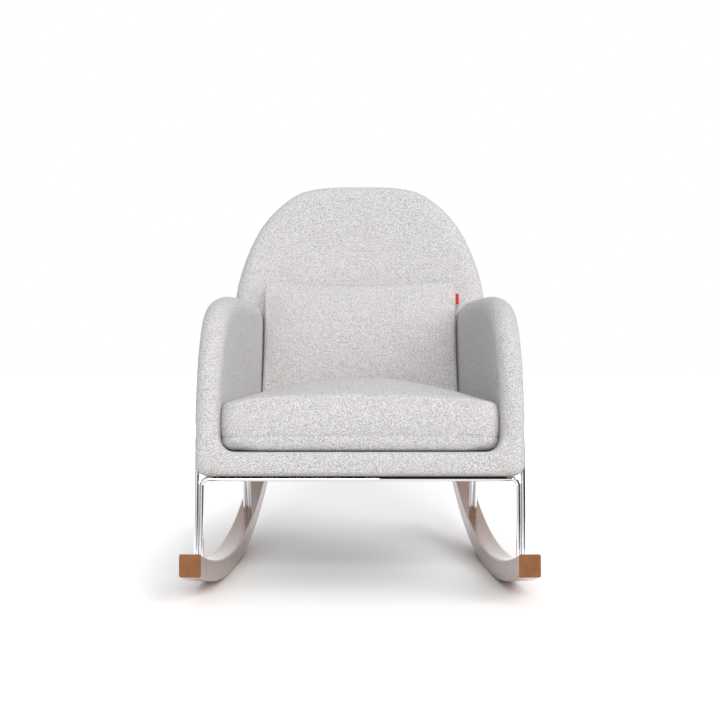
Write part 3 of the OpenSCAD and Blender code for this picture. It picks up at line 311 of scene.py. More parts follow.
# Screws and bolts: zinc plated screws up into the feet and through the cross bars, and bolts with
# washers and nuts that hold the arm panels to the rails and to the back.
zinc, wires, shader = new_material("zinc_plate")
marks = use_group(wires, polish_group, Mark_Size=900.0)
wires.join(wires.mix(wires.between(marks.outputs["Marks"], 0.3, 0.7), (0.60, 0.61, 0.60, 1),
                     (0.47, 0.48, 0.50, 1)), shader.inputs["Base Color"])
wires.join(wires.between(marks.outputs["Marks"], 0.3, 0.75, 0.24, 0.42), shader.inputs["Roughness"])
bumped(wires, shader, 0.2, 0.0002, marks.outputs["Height"])
shader.inputs["Metallic"].default_value = 1.0
finish_with(zinc, "foot_screws", "bar_screws", "side_screws", "frame_bolts", "arch_bolts")

# Timber frame: sawn pine rails, blocks and arch, glued and screwed, all covered by the upholstery.
# The arm panels are birch plywood whose plies show on their edges.
sawn_group, wires, given, out = new_group(
    "sawn_grain", [("Across X", 40.0), ("Across Y", 40.0), ("Across Z", 40.0)],
    [("Tone", "Float"), ("Height", "Float")])
place = wires.node("ShaderNodeTexCoord")
axes = wires.node("ShaderNodeSeparateXYZ", {0: place.outputs["Object"]})
stretched = wires.node("ShaderNodeCombineXYZ", {
    i: wires.math("MULTIPLY", axes.outputs[i], given.outputs[i]) for i in range(3)})
wide = wires.node("ShaderNodeTexNoise", {"Vector": stretched.outputs[0], "Scale": 1.0, "Detail": 4.0,
                                        "Roughness": 0.55, "Distortion": 0.6}).outputs[0]
ringed = wires.math("FRACT", wires.math("MULTIPLY", wide, 9.0))
wires.join(wires.math("ADD", wires.math("MULTIPLY", wide, 0.6), wires.math("MULTIPLY", ringed, 0.3)),
           out.inputs["Tone"])
wires.join(ringed, out.inputs["Height"])


def sawn_wood(name, stretch, pale, dark):
    material, wires, shader = new_material(name)
    grain = use_group(wires, sawn_group, Across_X=stretch[0], Across_Y=stretch[1], Across_Z=stretch[2])
    wires.join(wires.mix(wires.between(grain.outputs["Tone"], 0.2, 0.8), pale, dark),
               shader.inputs["Base Color"])
    bumped(wires, shader, 0.25, 0.0006, grain.outputs["Height"])
    shader.inputs["Roughness"].default_value = 0.72
    return material


pine = (0.70, 0.50, 0.28, 1), (0.50, 0.31, 0.15, 1)
finish_with(sawn_wood("pine_along_the_side", (70, 5, 60), *pine),
            "right_side_rail", "left_side_rail", "corner_blocks")
finish_with(sawn_wood("pine_across_the_chair", (5, 60, 70), *pine), "front_rail", "rear_rail", "lumbar_rail")
finish_with(sawn_wood("pine_up_the_back", (60, 70, 6), *pine), "back_arch")
finish_with(sawn_wood("birch_plywood", (900, 7, 26), (0.78, 0.61, 0.40, 1), (0.62, 0.44, 0.26, 1)),
            "right_arm_panel", "left_arm_panel")

# Webbing: 50 mm woven straps, stretched and stapled over the rails and the arch. They are black, with
# a plain weave.
weave_group, wires, given, out = new_group(
    "plain_weave", [("Threads", 900.0), ("Slub", 60.0)], [("Threads", "Float"), ("Tone", "Float")])
place = wires.node("ShaderNodeTexCoord")
axes = wires.node("ShaderNodeSeparateXYZ", {0: place.outputs["Object"]})


def thread_wave(axis, turn):
    across = wires.math("MULTIPLY", axes.outputs[axis], given.outputs[0])
    return wires.math("SINE", wires.math("ADD", across, turn))


crossing = wires.math("ADD", wires.math("MULTIPLY", thread_wave(0, 0.0), thread_wave(1, 1.2)),
                      wires.math("MULTIPLY", thread_wave(0, 0.7), thread_wave(2, 0.4)))
wires.join(wires.between(crossing, -1.2, 1.2), out.inputs["Threads"])
slub = wires.node("ShaderNodeTexNoise", {"Vector": place.outputs["Object"], "Scale": given.outputs[1],
                                        "Detail": 5.0, "Roughness": 0.6}).outputs[0]
wires.join(slub, out.inputs["Tone"])


def woven(name, light, dark, threads, slub, rough=0.85, lift=0.0004):
    material, wires, shader = new_material(name)
    weave = use_group(wires, weave_group, Threads=threads, Slub=slub)
    tone = wires.math("ADD", wires.math("MULTIPLY", weave.outputs["Threads"], 0.6),
                      wires.math("MULTIPLY", weave.outputs["Tone"], 0.5), clamp=True)
    wires.join(wires.mix(tone, dark, light), shader.inputs["Base Color"])
    bumped(wires, shader, 0.6, lift, weave.outputs["Threads"])
    shader.inputs["Roughness"].default_value = rough
    shader.inputs["Specular IOR Level"].default_value = 0.25
    return material


strap_cloth = woven("webbing_strap", (0.075, 0.075, 0.085, 1), (0.020, 0.020, 0.024, 1), 2100.0, 90.0)
finish_with(strap_cloth, "seat_webbing_long", "seat_webbing_cross", "back_webbing")

# Tub cover: one tailored cover of cream boucle over shaped foam, glued to the timber frame. The two
# petal shaped arms run into the arched back without a seam, and the cover turns under at the bottom.
rake = math.radians(5)
body_base = 0.2625
body_front = 0.014
arm_height = 0.669
arm_rise = 0.034
arm_half_front = 0.345
seat_half_front = 0.2955
seat_half_rear = 0.250
back_lean = math.radians(10.9)
back_foot = 0.612
back_height = 0.773
back_thick = 0.080
back_half = 0.333
back_half_foot = 0.298
side_bar_height = 0.3545
side_bar_half = 0.3404
side_bar_front = 0.0479
side_bar_turn = math.radians(3.15)
side_bar_sink = 0.006
bend_wrap = 0.0095
bend_rear = 0.047
bend_run = 0.014
swell_front = 0.04
swell_gap = 0.002


def chair(x, p, q):
    """A point of the raked body: p runs back from the rockers' front ends and q runs up."""
    return Vector((x, p * math.cos(rake) + q * math.sin(rake) - half_depth,
                   q * math.cos(rake) - p * math.sin(rake)))


def level(v):
    """The p and q of a point in the room."""
    y, z = v.y + half_depth, v.z
    return y * math.cos(rake) - z * math.sin(rake), y * math.sin(rake) + z * math.cos(rake)


def back_spot(x, y, z):
    """A point on the back's own slope: across, through and up from its foot."""
    return chair(x, back_foot + y * math.cos(back_lean) + z * math.sin(back_lean),
                 body_base - y * math.sin(back_lean) + z * math.cos(back_lean))


def eased(t):
    """A soft step from 0 to 1."""
    t = min(1.0, max(0.0, t))
    return t * t * (3 - 2 * t)


def mix(a, b, t):
    return a + (b - a) * t


arm_end = back_foot + (arm_height - body_base) * math.tan(back_lean)


def side_bar_x(p):
    return side_bar_half - (p - side_bar_front) * math.tan(side_bar_turn)


def outer_x(p, q):
    """The body's half width. It lies against the side bars, wraps their front bend and swells above them."""
    low = side_bar_x(p) - side_bar_sink + bend_wrap * eased((bend_rear - p) / bend_run)
    top = mix(arm_half_front, back_half, eased((p - swell_front) / (arm_end - swell_front)))
    swell_span = 0.020 + 0.42 * max(0.0, p - 0.06)
    return mix(low, top, eased((q - side_bar_height - swell_gap) / swell_span))


def inner_x(p):
    """Half the room between the arms, which narrows to the rear."""
    run = back_foot - body_front - back_thick / 2
    return mix(seat_half_front, seat_half_rear, min(1.0, max(0.0, (p - body_front) / run)))


def flowing(points, steps):
    """A smooth curve through the points."""
    curve = []
    last = len(points) - 1
    for i in range(last):
        a, b, c, d = (Vector(points[max(i - 1, 0)]), Vector(points[i]), Vector(points[i + 1]),
                      Vector(points[min(i + 2, last)]))
        for k in range(steps):
            t = k / steps
            curve.append(0.5 * (2 * b + (c - a) * t + (2 * a - 5 * b + 4 * c - d) * t * t
                                + (3 * b - a - 3 * c + d) * t * t * t))
    curve.append(Vector(points[last]))
    return curve


def stepped_in(outline, i, w):
    """A point of the outline moved square to it, inwards by w."""
    n = len(outline)
    t = (outline[(i + 1) % n] - outline[(i + n - 1) % n]).normalized()
    return outline[i] + Vector((-t.y, t.x)) * w


def ringed_form(name, rings, first, last):
    """A closed form from rings of points, with a point over each end."""
    n = len(rings[0])
    points = [first] + [v for ring in rings for v in ring] + [last]
    faces = [(0, 1 + (i + 1) % n, 1 + i) for i in range(n)]
    for k in range(len(rings) - 1):
        a = 1 + k * n
        faces += [(a + i, a + (i + 1) % n, a + n + (i + 1) % n, a + n + i) for i in range(n)]
    s = 1 + (len(rings) - 1) * n
    faces += [(s + i, s + (i + 1) % n, 1 + len(rings) * n) for i in range(n)]
    return mesh_piece(name, points, faces)


def rounded_slab(name, outline, rounds, middle, spot):
    """Two faces that meet in a rounded edge. Spot places a point of one face at a depth under it."""
    n = len(outline)
    caps = [0.12, 0.25, 0.38, 0.5, 0.62, 0.74, 0.86, 0.95]
    turns = [math.radians(a) for a in (0, 18, 36, 54, 72, 90)]

    def cap(side, g):
        return [spot(mix(middle, stepped_in(outline, i, rounds[i]), g), side, 0) for i in range(n)]

    def turn(side, a):
        return [spot(stepped_in(outline, i, rounds[i] * (1 - math.sin(a))), side,
                     rounds[i] * (1 - math.cos(a))) for i in range(n)]

    rings = ([cap(0, g) for g in caps] + [turn(0, a) for a in turns]
             + [turn(1, a) for a in reversed(turns)] + [cap(1, g) for g in reversed(caps)])
    return ringed_form(name, rings, spot(middle, 0, 0), spot(middle, 1, 0))


def baked(piece, *modifiers):
    """Puts modifiers on a piece, works them out and leaves the plain mesh."""
    for kind, settings in modifiers:
        made = piece.modifiers.new(kind, kind)
        for name, value in settings.items():
            setattr(made, name, value)
    graph = bpy.context.evaluated_depsgraph_get()
    shaped = bpy.data.meshes.new_from_object(piece.evaluated_get(graph))
    piece.modifiers.clear()
    piece.data = shaped
    shaped.polygons.foreach_set("use_smooth", [True] * len(shaped.polygons))
    return piece


def joined(name, *parts):
    """Puts the meshes of several pieces in one and deletes the pieces."""
    grown = bmesh.new()
    for part in parts:
        grown.from_mesh(part.data)
    data = bpy.data.meshes.new(name)
    grown.to_mesh(data)
    grown.free()
    for part in parts:
        bpy.data.objects.remove(part)
    piece = bpy.data.objects.new(name, data)
    bpy.context.scene.collection.objects.link(piece)
    return piece


back_side = flowing([
    (back_half_foot, 0.022), (back_half_foot + 0.001, back_height * 0.10),
    (mix(back_half_foot, back_half, 0.35), back_height * 0.22),
    (mix(back_half_foot, back_half, 0.80), back_height * 0.38), (back_half, back_height * 0.54),
    (back_half - 0.007, back_height * 0.64), (back_half - 0.026, back_height * 0.735),
    (back_half - 0.052, back_height * 0.82), (back_half - 0.088, back_height * 0.893),
    (back_half - 0.138, back_height * 0.954), (back_half - 0.190, back_height * 0.985),
    (back_half - 0.250, back_height * 0.998), (0, back_height)], 4)
back_run = ([Vector((t * back_half_foot, 0)) for t in (0.04, 0.25, 0.5, 0.75)]
            + [Vector((back_half_foot - 0.016, 0.0005)), Vector((back_half_foot - 0.004, 0.006))]
            + back_side)
back_outline = back_run + [Vector((-v.x, v.y)) for v in reversed(back_run[:-1])]
foot_round = 0.012
foot_edge = 0.020
back_round = 0.036
back_rounds = [foot_round if v.y < foot_edge else min(back_round, foot_round + 0.6 * (v.y - foot_edge))
               for v in back_outline]
back_dish = 0.010


def back_place(v, side, depth):
    """A point of the back's rear face where side is 1, or of its front face, which is slightly dished."""
    if side:
        return back_spot(v.x, back_thick / 2 - depth, v.y)
    dish = back_dish * max(0.0, 1 - (v.x / back_half_foot) ** 2)
    dish *= eased((back_height - v.y) / 0.2) * eased(v.y / 0.12)
    return back_spot(v.x, depth - back_thick / 2 + dish, v.y)


arm_lift = arm_height - body_base
arm_nose_deep = 0.272
arm_nose = flowing([(body_front + dp, body_base + arm_lift * share) for dp, share in (
    (0, 0.05), (0, 0.14), (0, 0.235), (0.004, 0.338), (0.012, 0.4465), (0.024, 0.552), (0.045, 0.673),
    (0.078, 0.798), (0.118, 0.886), (0.180, 0.955), (arm_nose_deep, 1))], 4)
arm_tail = arm_end + 0.030
arm_top_run = [Vector((mix(body_front + arm_nose_deep, arm_end + back_thick, t),
                       arm_height + arm_rise * t ** 0.9)) for t in (0.1, 0.2, 0.3, 0.4, 0.5, 0.6, 0.7)]
arm_under = 0.0028
arm_toe = 0.016
arm_toe_round = 0.026
arm_foot_round = 0.010
arm_round = 0.027
arm_outline = ([Vector((mix(body_front + arm_toe, arm_tail, t), body_base - arm_under * eased(t / 0.06)))
                for t in (0, 0.03, 0.06, 0.12, 0.24, 0.35, 0.5, 0.6, 0.75, 0.9)]
               + [Vector((mix(arm_tail, arm_tail - 0.03, t), mix(body_base, arm_height + arm_rise * 0.7, t)))
                  for t in (0, 0.15, 0.3, 0.45, 0.6, 0.75, 0.9)]
               + list(reversed(arm_top_run)) + list(reversed(arm_nose))
               + [Vector((body_front + 0.005, body_base + 0.005))])


def arm_rounding(v):
    """The round of the arm's edge: small at the bottom, which wraps the rail, and full above."""
    if v.y < body_base + 0.015:
        return mix(arm_toe_round, arm_foot_round, eased((v.x - body_front - arm_toe) / 0.040))
    return min((outer_x(v.x, v.y) - inner_x(v.x)) / 2 - 0.001, arm_round + 0.02 * v.x)


def arm_place(hand):
    def place(v, side, depth):
        x = inner_x(v.x) + depth if side else outer_x(v.x, v.y) - depth
        return chair(hand * x, v.x, v.y)
    return place


arm_middle = Vector((mix(body_front, arm_tail, 0.5), mix(body_base, arm_height, 0.45)))
arm_rounds = [arm_rounding(v) for v in arm_outline]
front_run = [Vector(v) for v in ((0.0, 0.012), (0.0035, 0.0035), (0.012, 0.0), (0.060, 0.0),
                                 (0.060, 0.049), (0.012, 0.051), (0.0035, 0.0475), (0.0, 0.039))]
front_half = 0.304
front_middle = 0.030
turn_up = 0.030


def front_ring(x):
    """A section of the front. Its top turns up into the arms with a full round."""
    past = max(0.0, abs(x) - (inner_x(body_front + front_middle) - turn_up))
    turned_up = turn_up - math.sqrt(max(0.0, turn_up ** 2 - min(past, turn_up) ** 2))
    return [chair(x, body_front + v.x, body_base + v.y + (turned_up if v.y > front_middle else 0.0))
            for v in front_run]


def front_end(x):
    return chair(x, body_front + front_middle, body_base + 0.025)


tub_cover = joined(
    "tub_cover",
    rounded_slab("back_form", back_outline, back_rounds, Vector((0, back_height * 0.48)), back_place),
    rounded_slab("right_arm_form", arm_outline, arm_rounds, arm_middle, arm_place(1)),
    rounded_slab("left_arm_form", arm_outline, arm_rounds, arm_middle, arm_place(-1)),
    ringed_form("front_form", [front_ring(mix(-front_half, front_half, k / 120)) for k in range(121)],
                front_end(-front_half), front_end(front_half)))
checked = bmesh.new()
checked.from_mesh(tub_cover.data)
bmesh.ops.recalc_face_normals(checked, faces=checked.faces)
checked.to_mesh(tub_cover.data)
checked.free()
baked(tub_cover, ("REMESH", {"mode": "VOXEL", "voxel_size": 0.0055}))
# The corner between each arm and the back is melted: the nearer a point lies, the more it is smoothed.
melt_reach = 0.085
melt_fade = 0.05
melt_floor = 0.42
melt_rise = 0.06
melted = tub_cover.vertex_groups.new(name="melted")
for v in tub_cover.data.vertices:
    p, q = level(v.co)
    ahead = p - (back_foot - 0.045 + (q - body_base) * math.tan(back_lean))
    sideways = abs(v.co.x) - inner_x(p)
    near = math.hypot(ahead * 0.8, min(0.0, sideways + 0.01) + max(0.0, sideways - 0.035))
    if q > melt_floor and near < melt_reach:
        amount = eased((melt_reach - near) / melt_fade) * eased((q - melt_floor) / melt_rise)
        melted.add([v.index], amount, "REPLACE")
baked(tub_cover, ("SMOOTH", {"factor": 0.5, "iterations": 90, "vertex_group": "melted"}),
      ("SMOOTH", {"factor": 0.5, "iterations": 9}))
tub_cover.vertex_groups.clear()

boucle_group, wires, given, out = new_group(
    "boucle_loops", [("Loops", 300.0), ("Drift", 9.0)],
    [("Tone", "Float"), ("Hollow", "Float"), ("Height", "Float")])
place = wires.node("ShaderNodeTexCoord")
warp = wires.node("ShaderNodeTexNoise", {"Vector": place.outputs["Object"], "Scale": 160.0,
                                        "Detail": 2.0}).outputs[1]
bent = wires.node("ShaderNodeVectorMath", {0: place.outputs["Object"]}, operation="ADD")
pushed = wires.node("ShaderNodeVectorMath", {0: warp, "Scale": 0.0035}, operation="SCALE")
wires.join(pushed.outputs[0], bent.inputs[1])
loops = wires.node("ShaderNodeTexVoronoi", {"Vector": bent.outputs[0], "Scale": given.outputs[0]},
                   feature="F1")
finer = wires.math("MULTIPLY", given.outputs[0], 2.3)
small = wires.node("ShaderNodeTexVoronoi", {"Vector": bent.outputs[0], "Scale": finer}, feature="F1")
each = wires.node("ShaderNodeSeparateColor", {0: loops.outputs["Color"]}).outputs[0]
drift = wires.node("ShaderNodeTexNoise", {"Vector": place.outputs["Object"], "Scale": given.outputs[1],
                                         "Detail": 3.0}).outputs[0]
hollow = wires.between(loops.outputs["Distance"], 0.38, 0.75)
wires.join(wires.math("ADD", wires.math("MULTIPLY", each, 0.8), wires.math("MULTIPLY", drift, 0.2)),
           out.inputs["Tone"])
wires.join(hollow, out.inputs["Hollow"])
squared = wires.math("MULTIPLY", loops.outputs["Distance"], loops.outputs["Distance"])
domes = wires.math("SUBTRACT", 1.0, squared)
wires.join(wires.math("SUBTRACT", domes, wires.math("MULTIPLY", small.outputs["Distance"], 0.35)),
           out.inputs["Height"])


def boucle(name, light, dark, shade, loops=430.0, lift=0.0026):
    """Looped wool cloth: each loop has its own tone and the hollows between the loops are shaded."""
    material, wires, shader = new_material(name)
    nap = use_group(wires, boucle_group, Loops=loops)
    colour = wires.mix(nap.outputs["Tone"], dark, light)
    colour = wires.mix(wires.math("MULTIPLY", nap.outputs["Hollow"], 0.65), colour, shade)
    wires.join(colour, shader.inputs["Base Color"])
    bumped(wires, shader, 0.9, lift, nap.outputs["Height"])
    shader.inputs["Roughness"].default_value = 0.95
    shader.inputs["Specular IOR Level"].default_value = 0.15
    shader.inputs["Sheen Weight"].default_value = 0.25
    shader.inputs["Sheen Roughness"].default_value = 0.5
    return material


cream_boucle = boucle("cream_boucle", (0.95, 0.932, 0.934, 1), (0.71, 0.696, 0.698, 1),
                      (0.42, 0.411, 0.412, 1))
tub_cover.data.materials.append(cream_boucle)
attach(tub_cover, "chair")
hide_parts("right_arm_pad", "left_arm_pad", "back_pad", "front_pad")

# Outside back: a thin board padded with wadding and covered, pressed into the back of the tub and
# closed by hand with small slipped stitches all round. The rear cross bar is screwed on through it.
board_margin = 0.037
board_inside = 0.0362
board_face = 0.0395
board_dome = 0.0065
back_line = [v for v in back_side if v.y > 0.02]
board_side = [Vector((back_half_foot - 0.052, 0.012))]
for i in range(1, len(back_line) - 1):
    t = (back_line[i + 1] - back_line[i - 1]).normalized()
    board_side.append(back_line[i] + Vector((-t.y, t.x)) * board_margin)
board_side.append(Vector((0, back_height - board_margin)))
board_outline = ([Vector((t * board_side[0].x, 0.010)) for t in (-0.8, -0.4, 0, 0.4, 0.8)] + board_side
                 + [Vector((-v.x, v.y)) for v in reversed(board_side[:-1])])
board_middle = Vector((0, back_height * 0.48))


def board_ring(g, lift, dome=0.0):
    """A ring of the board, shrunk towards its middle by g. The dome starts above the cross bar."""
    return [back_spot(v.x, lift + dome * eased((v.y - 0.12) / 0.2), v.y)
            for v in (mix(board_middle, w, g) for w in board_outline)]


board_rings = [board_ring(g, board_inside) for g in (0.3, 0.6, 0.9)]
board_rings += [board_ring(g, y) for g, y in ((0.992, board_inside), (0.9985, 0.0370), (0.999, 0.0380),
                                              (0.995, 0.0390), (0.985, board_face))]
board_rings += [board_ring(g, board_face, board_dome * (1 - g * g))
                for g in (0.95, 0.88, 0.76, 0.6, 0.44, 0.28, 0.14)]
outside_board = ringed_form("outside_back_cover", board_rings, back_spot(0, board_inside, board_middle.y),
                            back_spot(0, board_face + board_dome, board_middle.y))
outside_board.data.materials.append(cream_boucle)
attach(outside_board, "chair")
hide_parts("outside_back")

# Dust cloth: thin black spun cloth stapled under the seat frame, with its edge folded under. It hangs
# a few millimetres slack between the rails.
dust_front = 0.034
dust_rear = 0.648
dust_margin = 0.0340
dust_slack = 0.0042
dust_points = []
dust_faces = []
across = 48
along = 48
for j in range(along + 1):
    p = mix(dust_front, dust_rear, j / along)
    half = side_bar_x(p) - dust_margin
    v = 2 * j / along - 1
    for i in range(across + 1):
        u = 2 * i / across - 1
        slack = dust_slack * (1 - abs(u) ** 3) * (1 - abs(v) ** 3) * eased((p - 0.065) / 0.08)
        edge = max(abs(u), abs(v))
        fold = 0.0003 if edge > 0.955 else 0.0
        ripple = 0.0006 * math.sin(u * 34 + j * 0.35) * (1 - edge ** 4)
        dust_points.append(chair(u * half, p, body_base - 0.0006 - slack * 0.9 - fold - ripple * 0.5))
for j in range(along):
    for i in range(across):
        a = j * (across + 1) + i
        dust_faces.append((a, a + across + 1, a + across + 2, a + 1))
dust_cloth = mesh_piece("dust_cloth", dust_points, dust_faces)
baked(dust_cloth, ("SOLIDIFY", {"thickness": 0.0005, "offset": 0.0}))
dust_cloth.data.materials.append(woven("spun_dust_cloth", (0.030, 0.030, 0.032, 1),
                                       (0.010, 0.010, 0.011, 1), 3200.0, 240.0, 0.95, 0.0002))
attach(dust_cloth, "chair")
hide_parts("under_seat_cloth")

# Deck: a sheet of firm felt under a grey twill cloth, laid over the webbing and tacked along the rails.
# The loose cushion lies on it.
deck_top = 0.3135
deck_thick = 0.005
deck_front = 0.0285
deck_rear = 0.577
across_steps = (0, 0.17, 0.33, 0.5, 0.67, 0.83)
along_steps = (0, 0.25, 0.5, 0.75)
deck_edge = ([(mix(-1, 1, t), 0) for t in across_steps] + [(1, t) for t in along_steps]
             + [(mix(1, -1, t), 1) for t in across_steps] + [(-1, 1 - t) for t in along_steps])


def deck_ring(g, lift):
    """A ring of the deck, shrunk towards its middle by g."""
    ring = []
    for u, v in deck_edge:
        p = mix(0.5, v, g) * (deck_rear - deck_front) + deck_front
        ring.append(chair(u * g * (inner_x(p) - 0.002), p, deck_top - deck_thick + lift))
    return ring


deck_rings = [deck_ring(g, y) for g, y in (
    (0.4, 0.0), (0.8, 0.0), (0.985, 0.0), (0.998, 0.0012), (1.0, 0.0028),
    (0.996, 0.0042), (0.985, 0.0048), (0.8, 0.0049), (0.4, 0.0049))]
deck_cloth = ringed_form("deck_cloth", deck_rings, chair(0, 0.3, deck_top - deck_thick),
                         chair(0, 0.3, deck_top - 0.0001))
deck_cloth.data.materials.append(woven("deck_twill", (0.20, 0.20, 0.205, 1), (0.11, 0.11, 0.115, 1),
                                       1500.0, 70.0))
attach(deck_cloth, "chair")
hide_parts("deck_pad")

# Seat cushion: a loose boxed cushion of foam wrapped in fibre, in the same boucle. Top and bottom
# panels are sewn to a boxing strip, its sides pull in at the two seams and the top is highly crowned.
cushion_side = 0.096
cushion_crown = 0.072
cushion_crown_sink = 0.004
cushion_length = 0.548
cushion_front = body_front + 0.007 + 0.008
cushion_under = deck_top + 0.0008
corner = 0.040
seam_low = 0.028
seam_low_rise = 0.003
seam_top_rise = 0.016
front_bow = 0.008


def cushion_half(p):
    return inner_x(p) - 0.0015


cushion_rear = cushion_front + cushion_length
half_front, half_rear = cushion_half(cushion_front), cushion_half(cushion_rear)
cushion_middle = (cushion_front + cushion_rear) / 2


def round_corner(x, p, r, start, stop, steps=6):
    """A round of radius r about x and p, between two angles."""
    return [Vector((x + r * math.cos(math.radians(mix(start, stop, k / steps))),
                    p + r * math.sin(math.radians(mix(start, stop, k / steps))))) for k in range(steps + 1)]


rear_corner = corner * 0.6
side_places = [mix(cushion_front + corner, cushion_rear - rear_corner, k / 16) for k in range(1, 16)]
right_run = (round_corner(half_front - corner, cushion_front + corner, corner, -90, 0)
             + [Vector((cushion_half(p), p)) for p in side_places]
             + round_corner(half_rear - rear_corner, cushion_rear - rear_corner, rear_corner, 0, 90))
cushion_outline = ([Vector((mix(-half_front + corner, half_front - corner, k / 14), cushion_front))
                    for k in range(1, 14)]
                   + right_run
                   + [Vector((mix(half_rear - rear_corner, -half_rear + rear_corner, k / 14), cushion_rear))
                      for k in range(1, 14)]
                   + [Vector((-v.x, v.y)) for v in reversed(right_run)])


def seam_lift(x, p):
    """The share by which a seam of the boxing rises: 1 in the middle of the front and 0 at the corners."""
    ahead = p < cushion_front + corner
    return (max(0.0, 1 - (abs(x) / half_front) ** 3) * (1 if ahead else 0.35)
            + (0 if ahead else 0.5) * max(0.0, 1 - (abs(p - cushion_middle) / (cushion_length / 2)) ** 2))


def cushion_spot(i, w, z):
    """A point of the boxing on the level cushion, in from the outline by w and up by z."""
    v = cushion_outline[i]
    if z < seam_low - 0.003 and v.y < cushion_front + 0.001:
        w *= mix(1.0, 0.25, eased((half_front - corner - abs(v.x)) / 0.03))
    a = stepped_in(cushion_outline, i, w)
    high = seam_low + 0.008
    share = seam_lift(v.x, v.y)
    if z > high:
        lift = seam_top_rise * share * (z - high) / (cushion_side - high)
    else:
        lift = seam_low_rise * share * z / seam_low
    ahead = eased((cushion_front + corner * 0.8 - v.y) / (corner * 0.8))
    bulge = front_bow * ahead * math.sin(math.pi * min(1.0, z / (cushion_side + 0.012)))
    return Vector((a.x, a.y - bulge, cushion_under + z + lift))


def falls(t, k):
    """1 in the middle and 0 at t of 1 and beyond. A higher k keeps it flat for longer."""
    return max(0.0, 1 - abs(t) ** k)


def crowned(i, g):
    """A point of the crowned top, shrunk towards the middle by g."""
    side = cushion_spot(i, 0.005, cushion_side + 0.005)
    x, p = side.x * g, mix(cushion_middle, side.y, g)
    share = falls(x / cushion_half(p), 2.1) * falls((p - cushion_middle) / cushion_length * 2, 2.4)
    return Vector((x, p, mix(side.z, deck_top + cushion_side + cushion_crown, share)))


count = range(len(cushion_outline))
under_steps = (0.15, 0.3, 0.45, 0.6, 0.75, 0.88)
side_run = [(0.030, 0), (0.020, 0.0018), (0.0125, 0.0055), (0.0065, 0.0115), (0.0030, 0.0180),
            (0.0030, seam_low - 0.002), (0.0045, seam_low), (0.003, seam_low + 0.003),
            (0.001, seam_low + 0.010), (0.0, 0.052), (0.0, 0.066), (0.0008, 0.080), (0.0025, 0.091),
            (0.0045, cushion_side), (0.0045, cushion_side + 0.004)]
crown_steps = (0.975, 0.94, 0.89, 0.82, 0.74, 0.65, 0.55, 0.44, 0.33, 0.22, 0.11)
cushion_rings = [[Vector((v.x * g, mix(cushion_middle, v.y, g), cushion_under)) for v in cushion_outline]
                 for g in under_steps]
cushion_rings += [[cushion_spot(i, w, z) for i in count] for w, z in side_run]
cushion_rings += [[crowned(i, g) for i in count] for g in crown_steps]
first_crowned = len(under_steps) + len(side_run)
raked_rings = [[chair(v.x, v.y, v.z - (cushion_crown_sink if k > first_crowned else 0.0)) for v in ring]
               for k, ring in enumerate(cushion_rings)]
seat_cushion = ringed_form(
    "seat_cushion_cover", raked_rings, chair(0, cushion_middle, cushion_under),
    chair(0, cushion_middle, deck_top + cushion_side + cushion_crown - cushion_crown_sink))


def side_distances(x, p):
    """How far a point lies in from the cushion's sides, front and rear, seen from above."""
    return cushion_half(p) - abs(x), p - cushion_front + front_bow, cushion_rear - p


def inflate(piece, held, pressure, most, frames=20):
    """Fills a cover with air as cloth. Held says how firmly each point keeps its place."""
    group = piece.vertex_groups.new(name="held")
    before = [v.co.copy() for v in piece.data.vertices]
    for v in piece.data.vertices:
        group.add([v.index], held(v.co), "REPLACE")
    cloth = piece.modifiers.new("Cloth", "CLOTH")
    cloth.settings.quality = 5
    cloth.settings.mass = 0.25
    cloth.settings.tension_stiffness = 12
    cloth.settings.compression_stiffness = 12
    cloth.settings.bending_stiffness = 1.5
    cloth.settings.use_pressure = True
    cloth.settings.uniform_pressure_force = pressure
    cloth.settings.vertex_group_mass = "held"
    cloth.settings.pin_stiffness = 1.0
    cloth.settings.effector_weights.gravity = 0
    cloth.point_cache.frame_start = 1
    cloth.point_cache.frame_end = frames
    scene = bpy.context.scene
    for f in range(1, frames + 1):
        scene.frame_set(f)
    graph = bpy.context.evaluated_depsgraph_get()
    blown = [v.co.copy() for v in piece.evaluated_get(graph).data.vertices]
    piece.modifiers.clear()
    piece.vertex_groups.clear()
    for v, a, b in zip(piece.data.vertices, before, blown):
        move = b - a
        v.co = a + move * min(1.0, most / max(move.length, 1e-9))
    scene.frame_set(1)
    return piece


def seam_distances(x, p, z):
    """How far a point lies above each seam of the boxing."""
    rise = seam_lift(x, p)
    return z - seam_low - seam_low_rise * rise, z - cushion_side - seam_top_rise * rise


def cushion_held(co):
    """The underside and the two seams hold their shape, and the cloth between them may swell."""
    p, q = level(co)
    z = q - deck_top
    if z < 0.004:
        return 1.0
    low, high = seam_distances(co.x, p, z)
    near_low = math.exp(-(low / 0.005) ** 2)
    near_high = math.exp(-(high / 0.006) ** 2) if min(side_distances(co.x, p)) < 0.02 else 0.0
    return min(1.0, max(near_low, near_high) + 0.02)


baked(seat_cushion, ("REMESH", {"mode": "VOXEL", "voxel_size": 0.006}),
      ("SMOOTH", {"factor": 0.5, "iterations": 2}))
inflate(seat_cushion, cushion_held, 4.0, 0.010)
baked(seat_cushion, ("SMOOTH", {"factor": 0.4, "iterations": 2}), ("SUBSURF", {"levels": 1}))
cushion_swell = 1.010


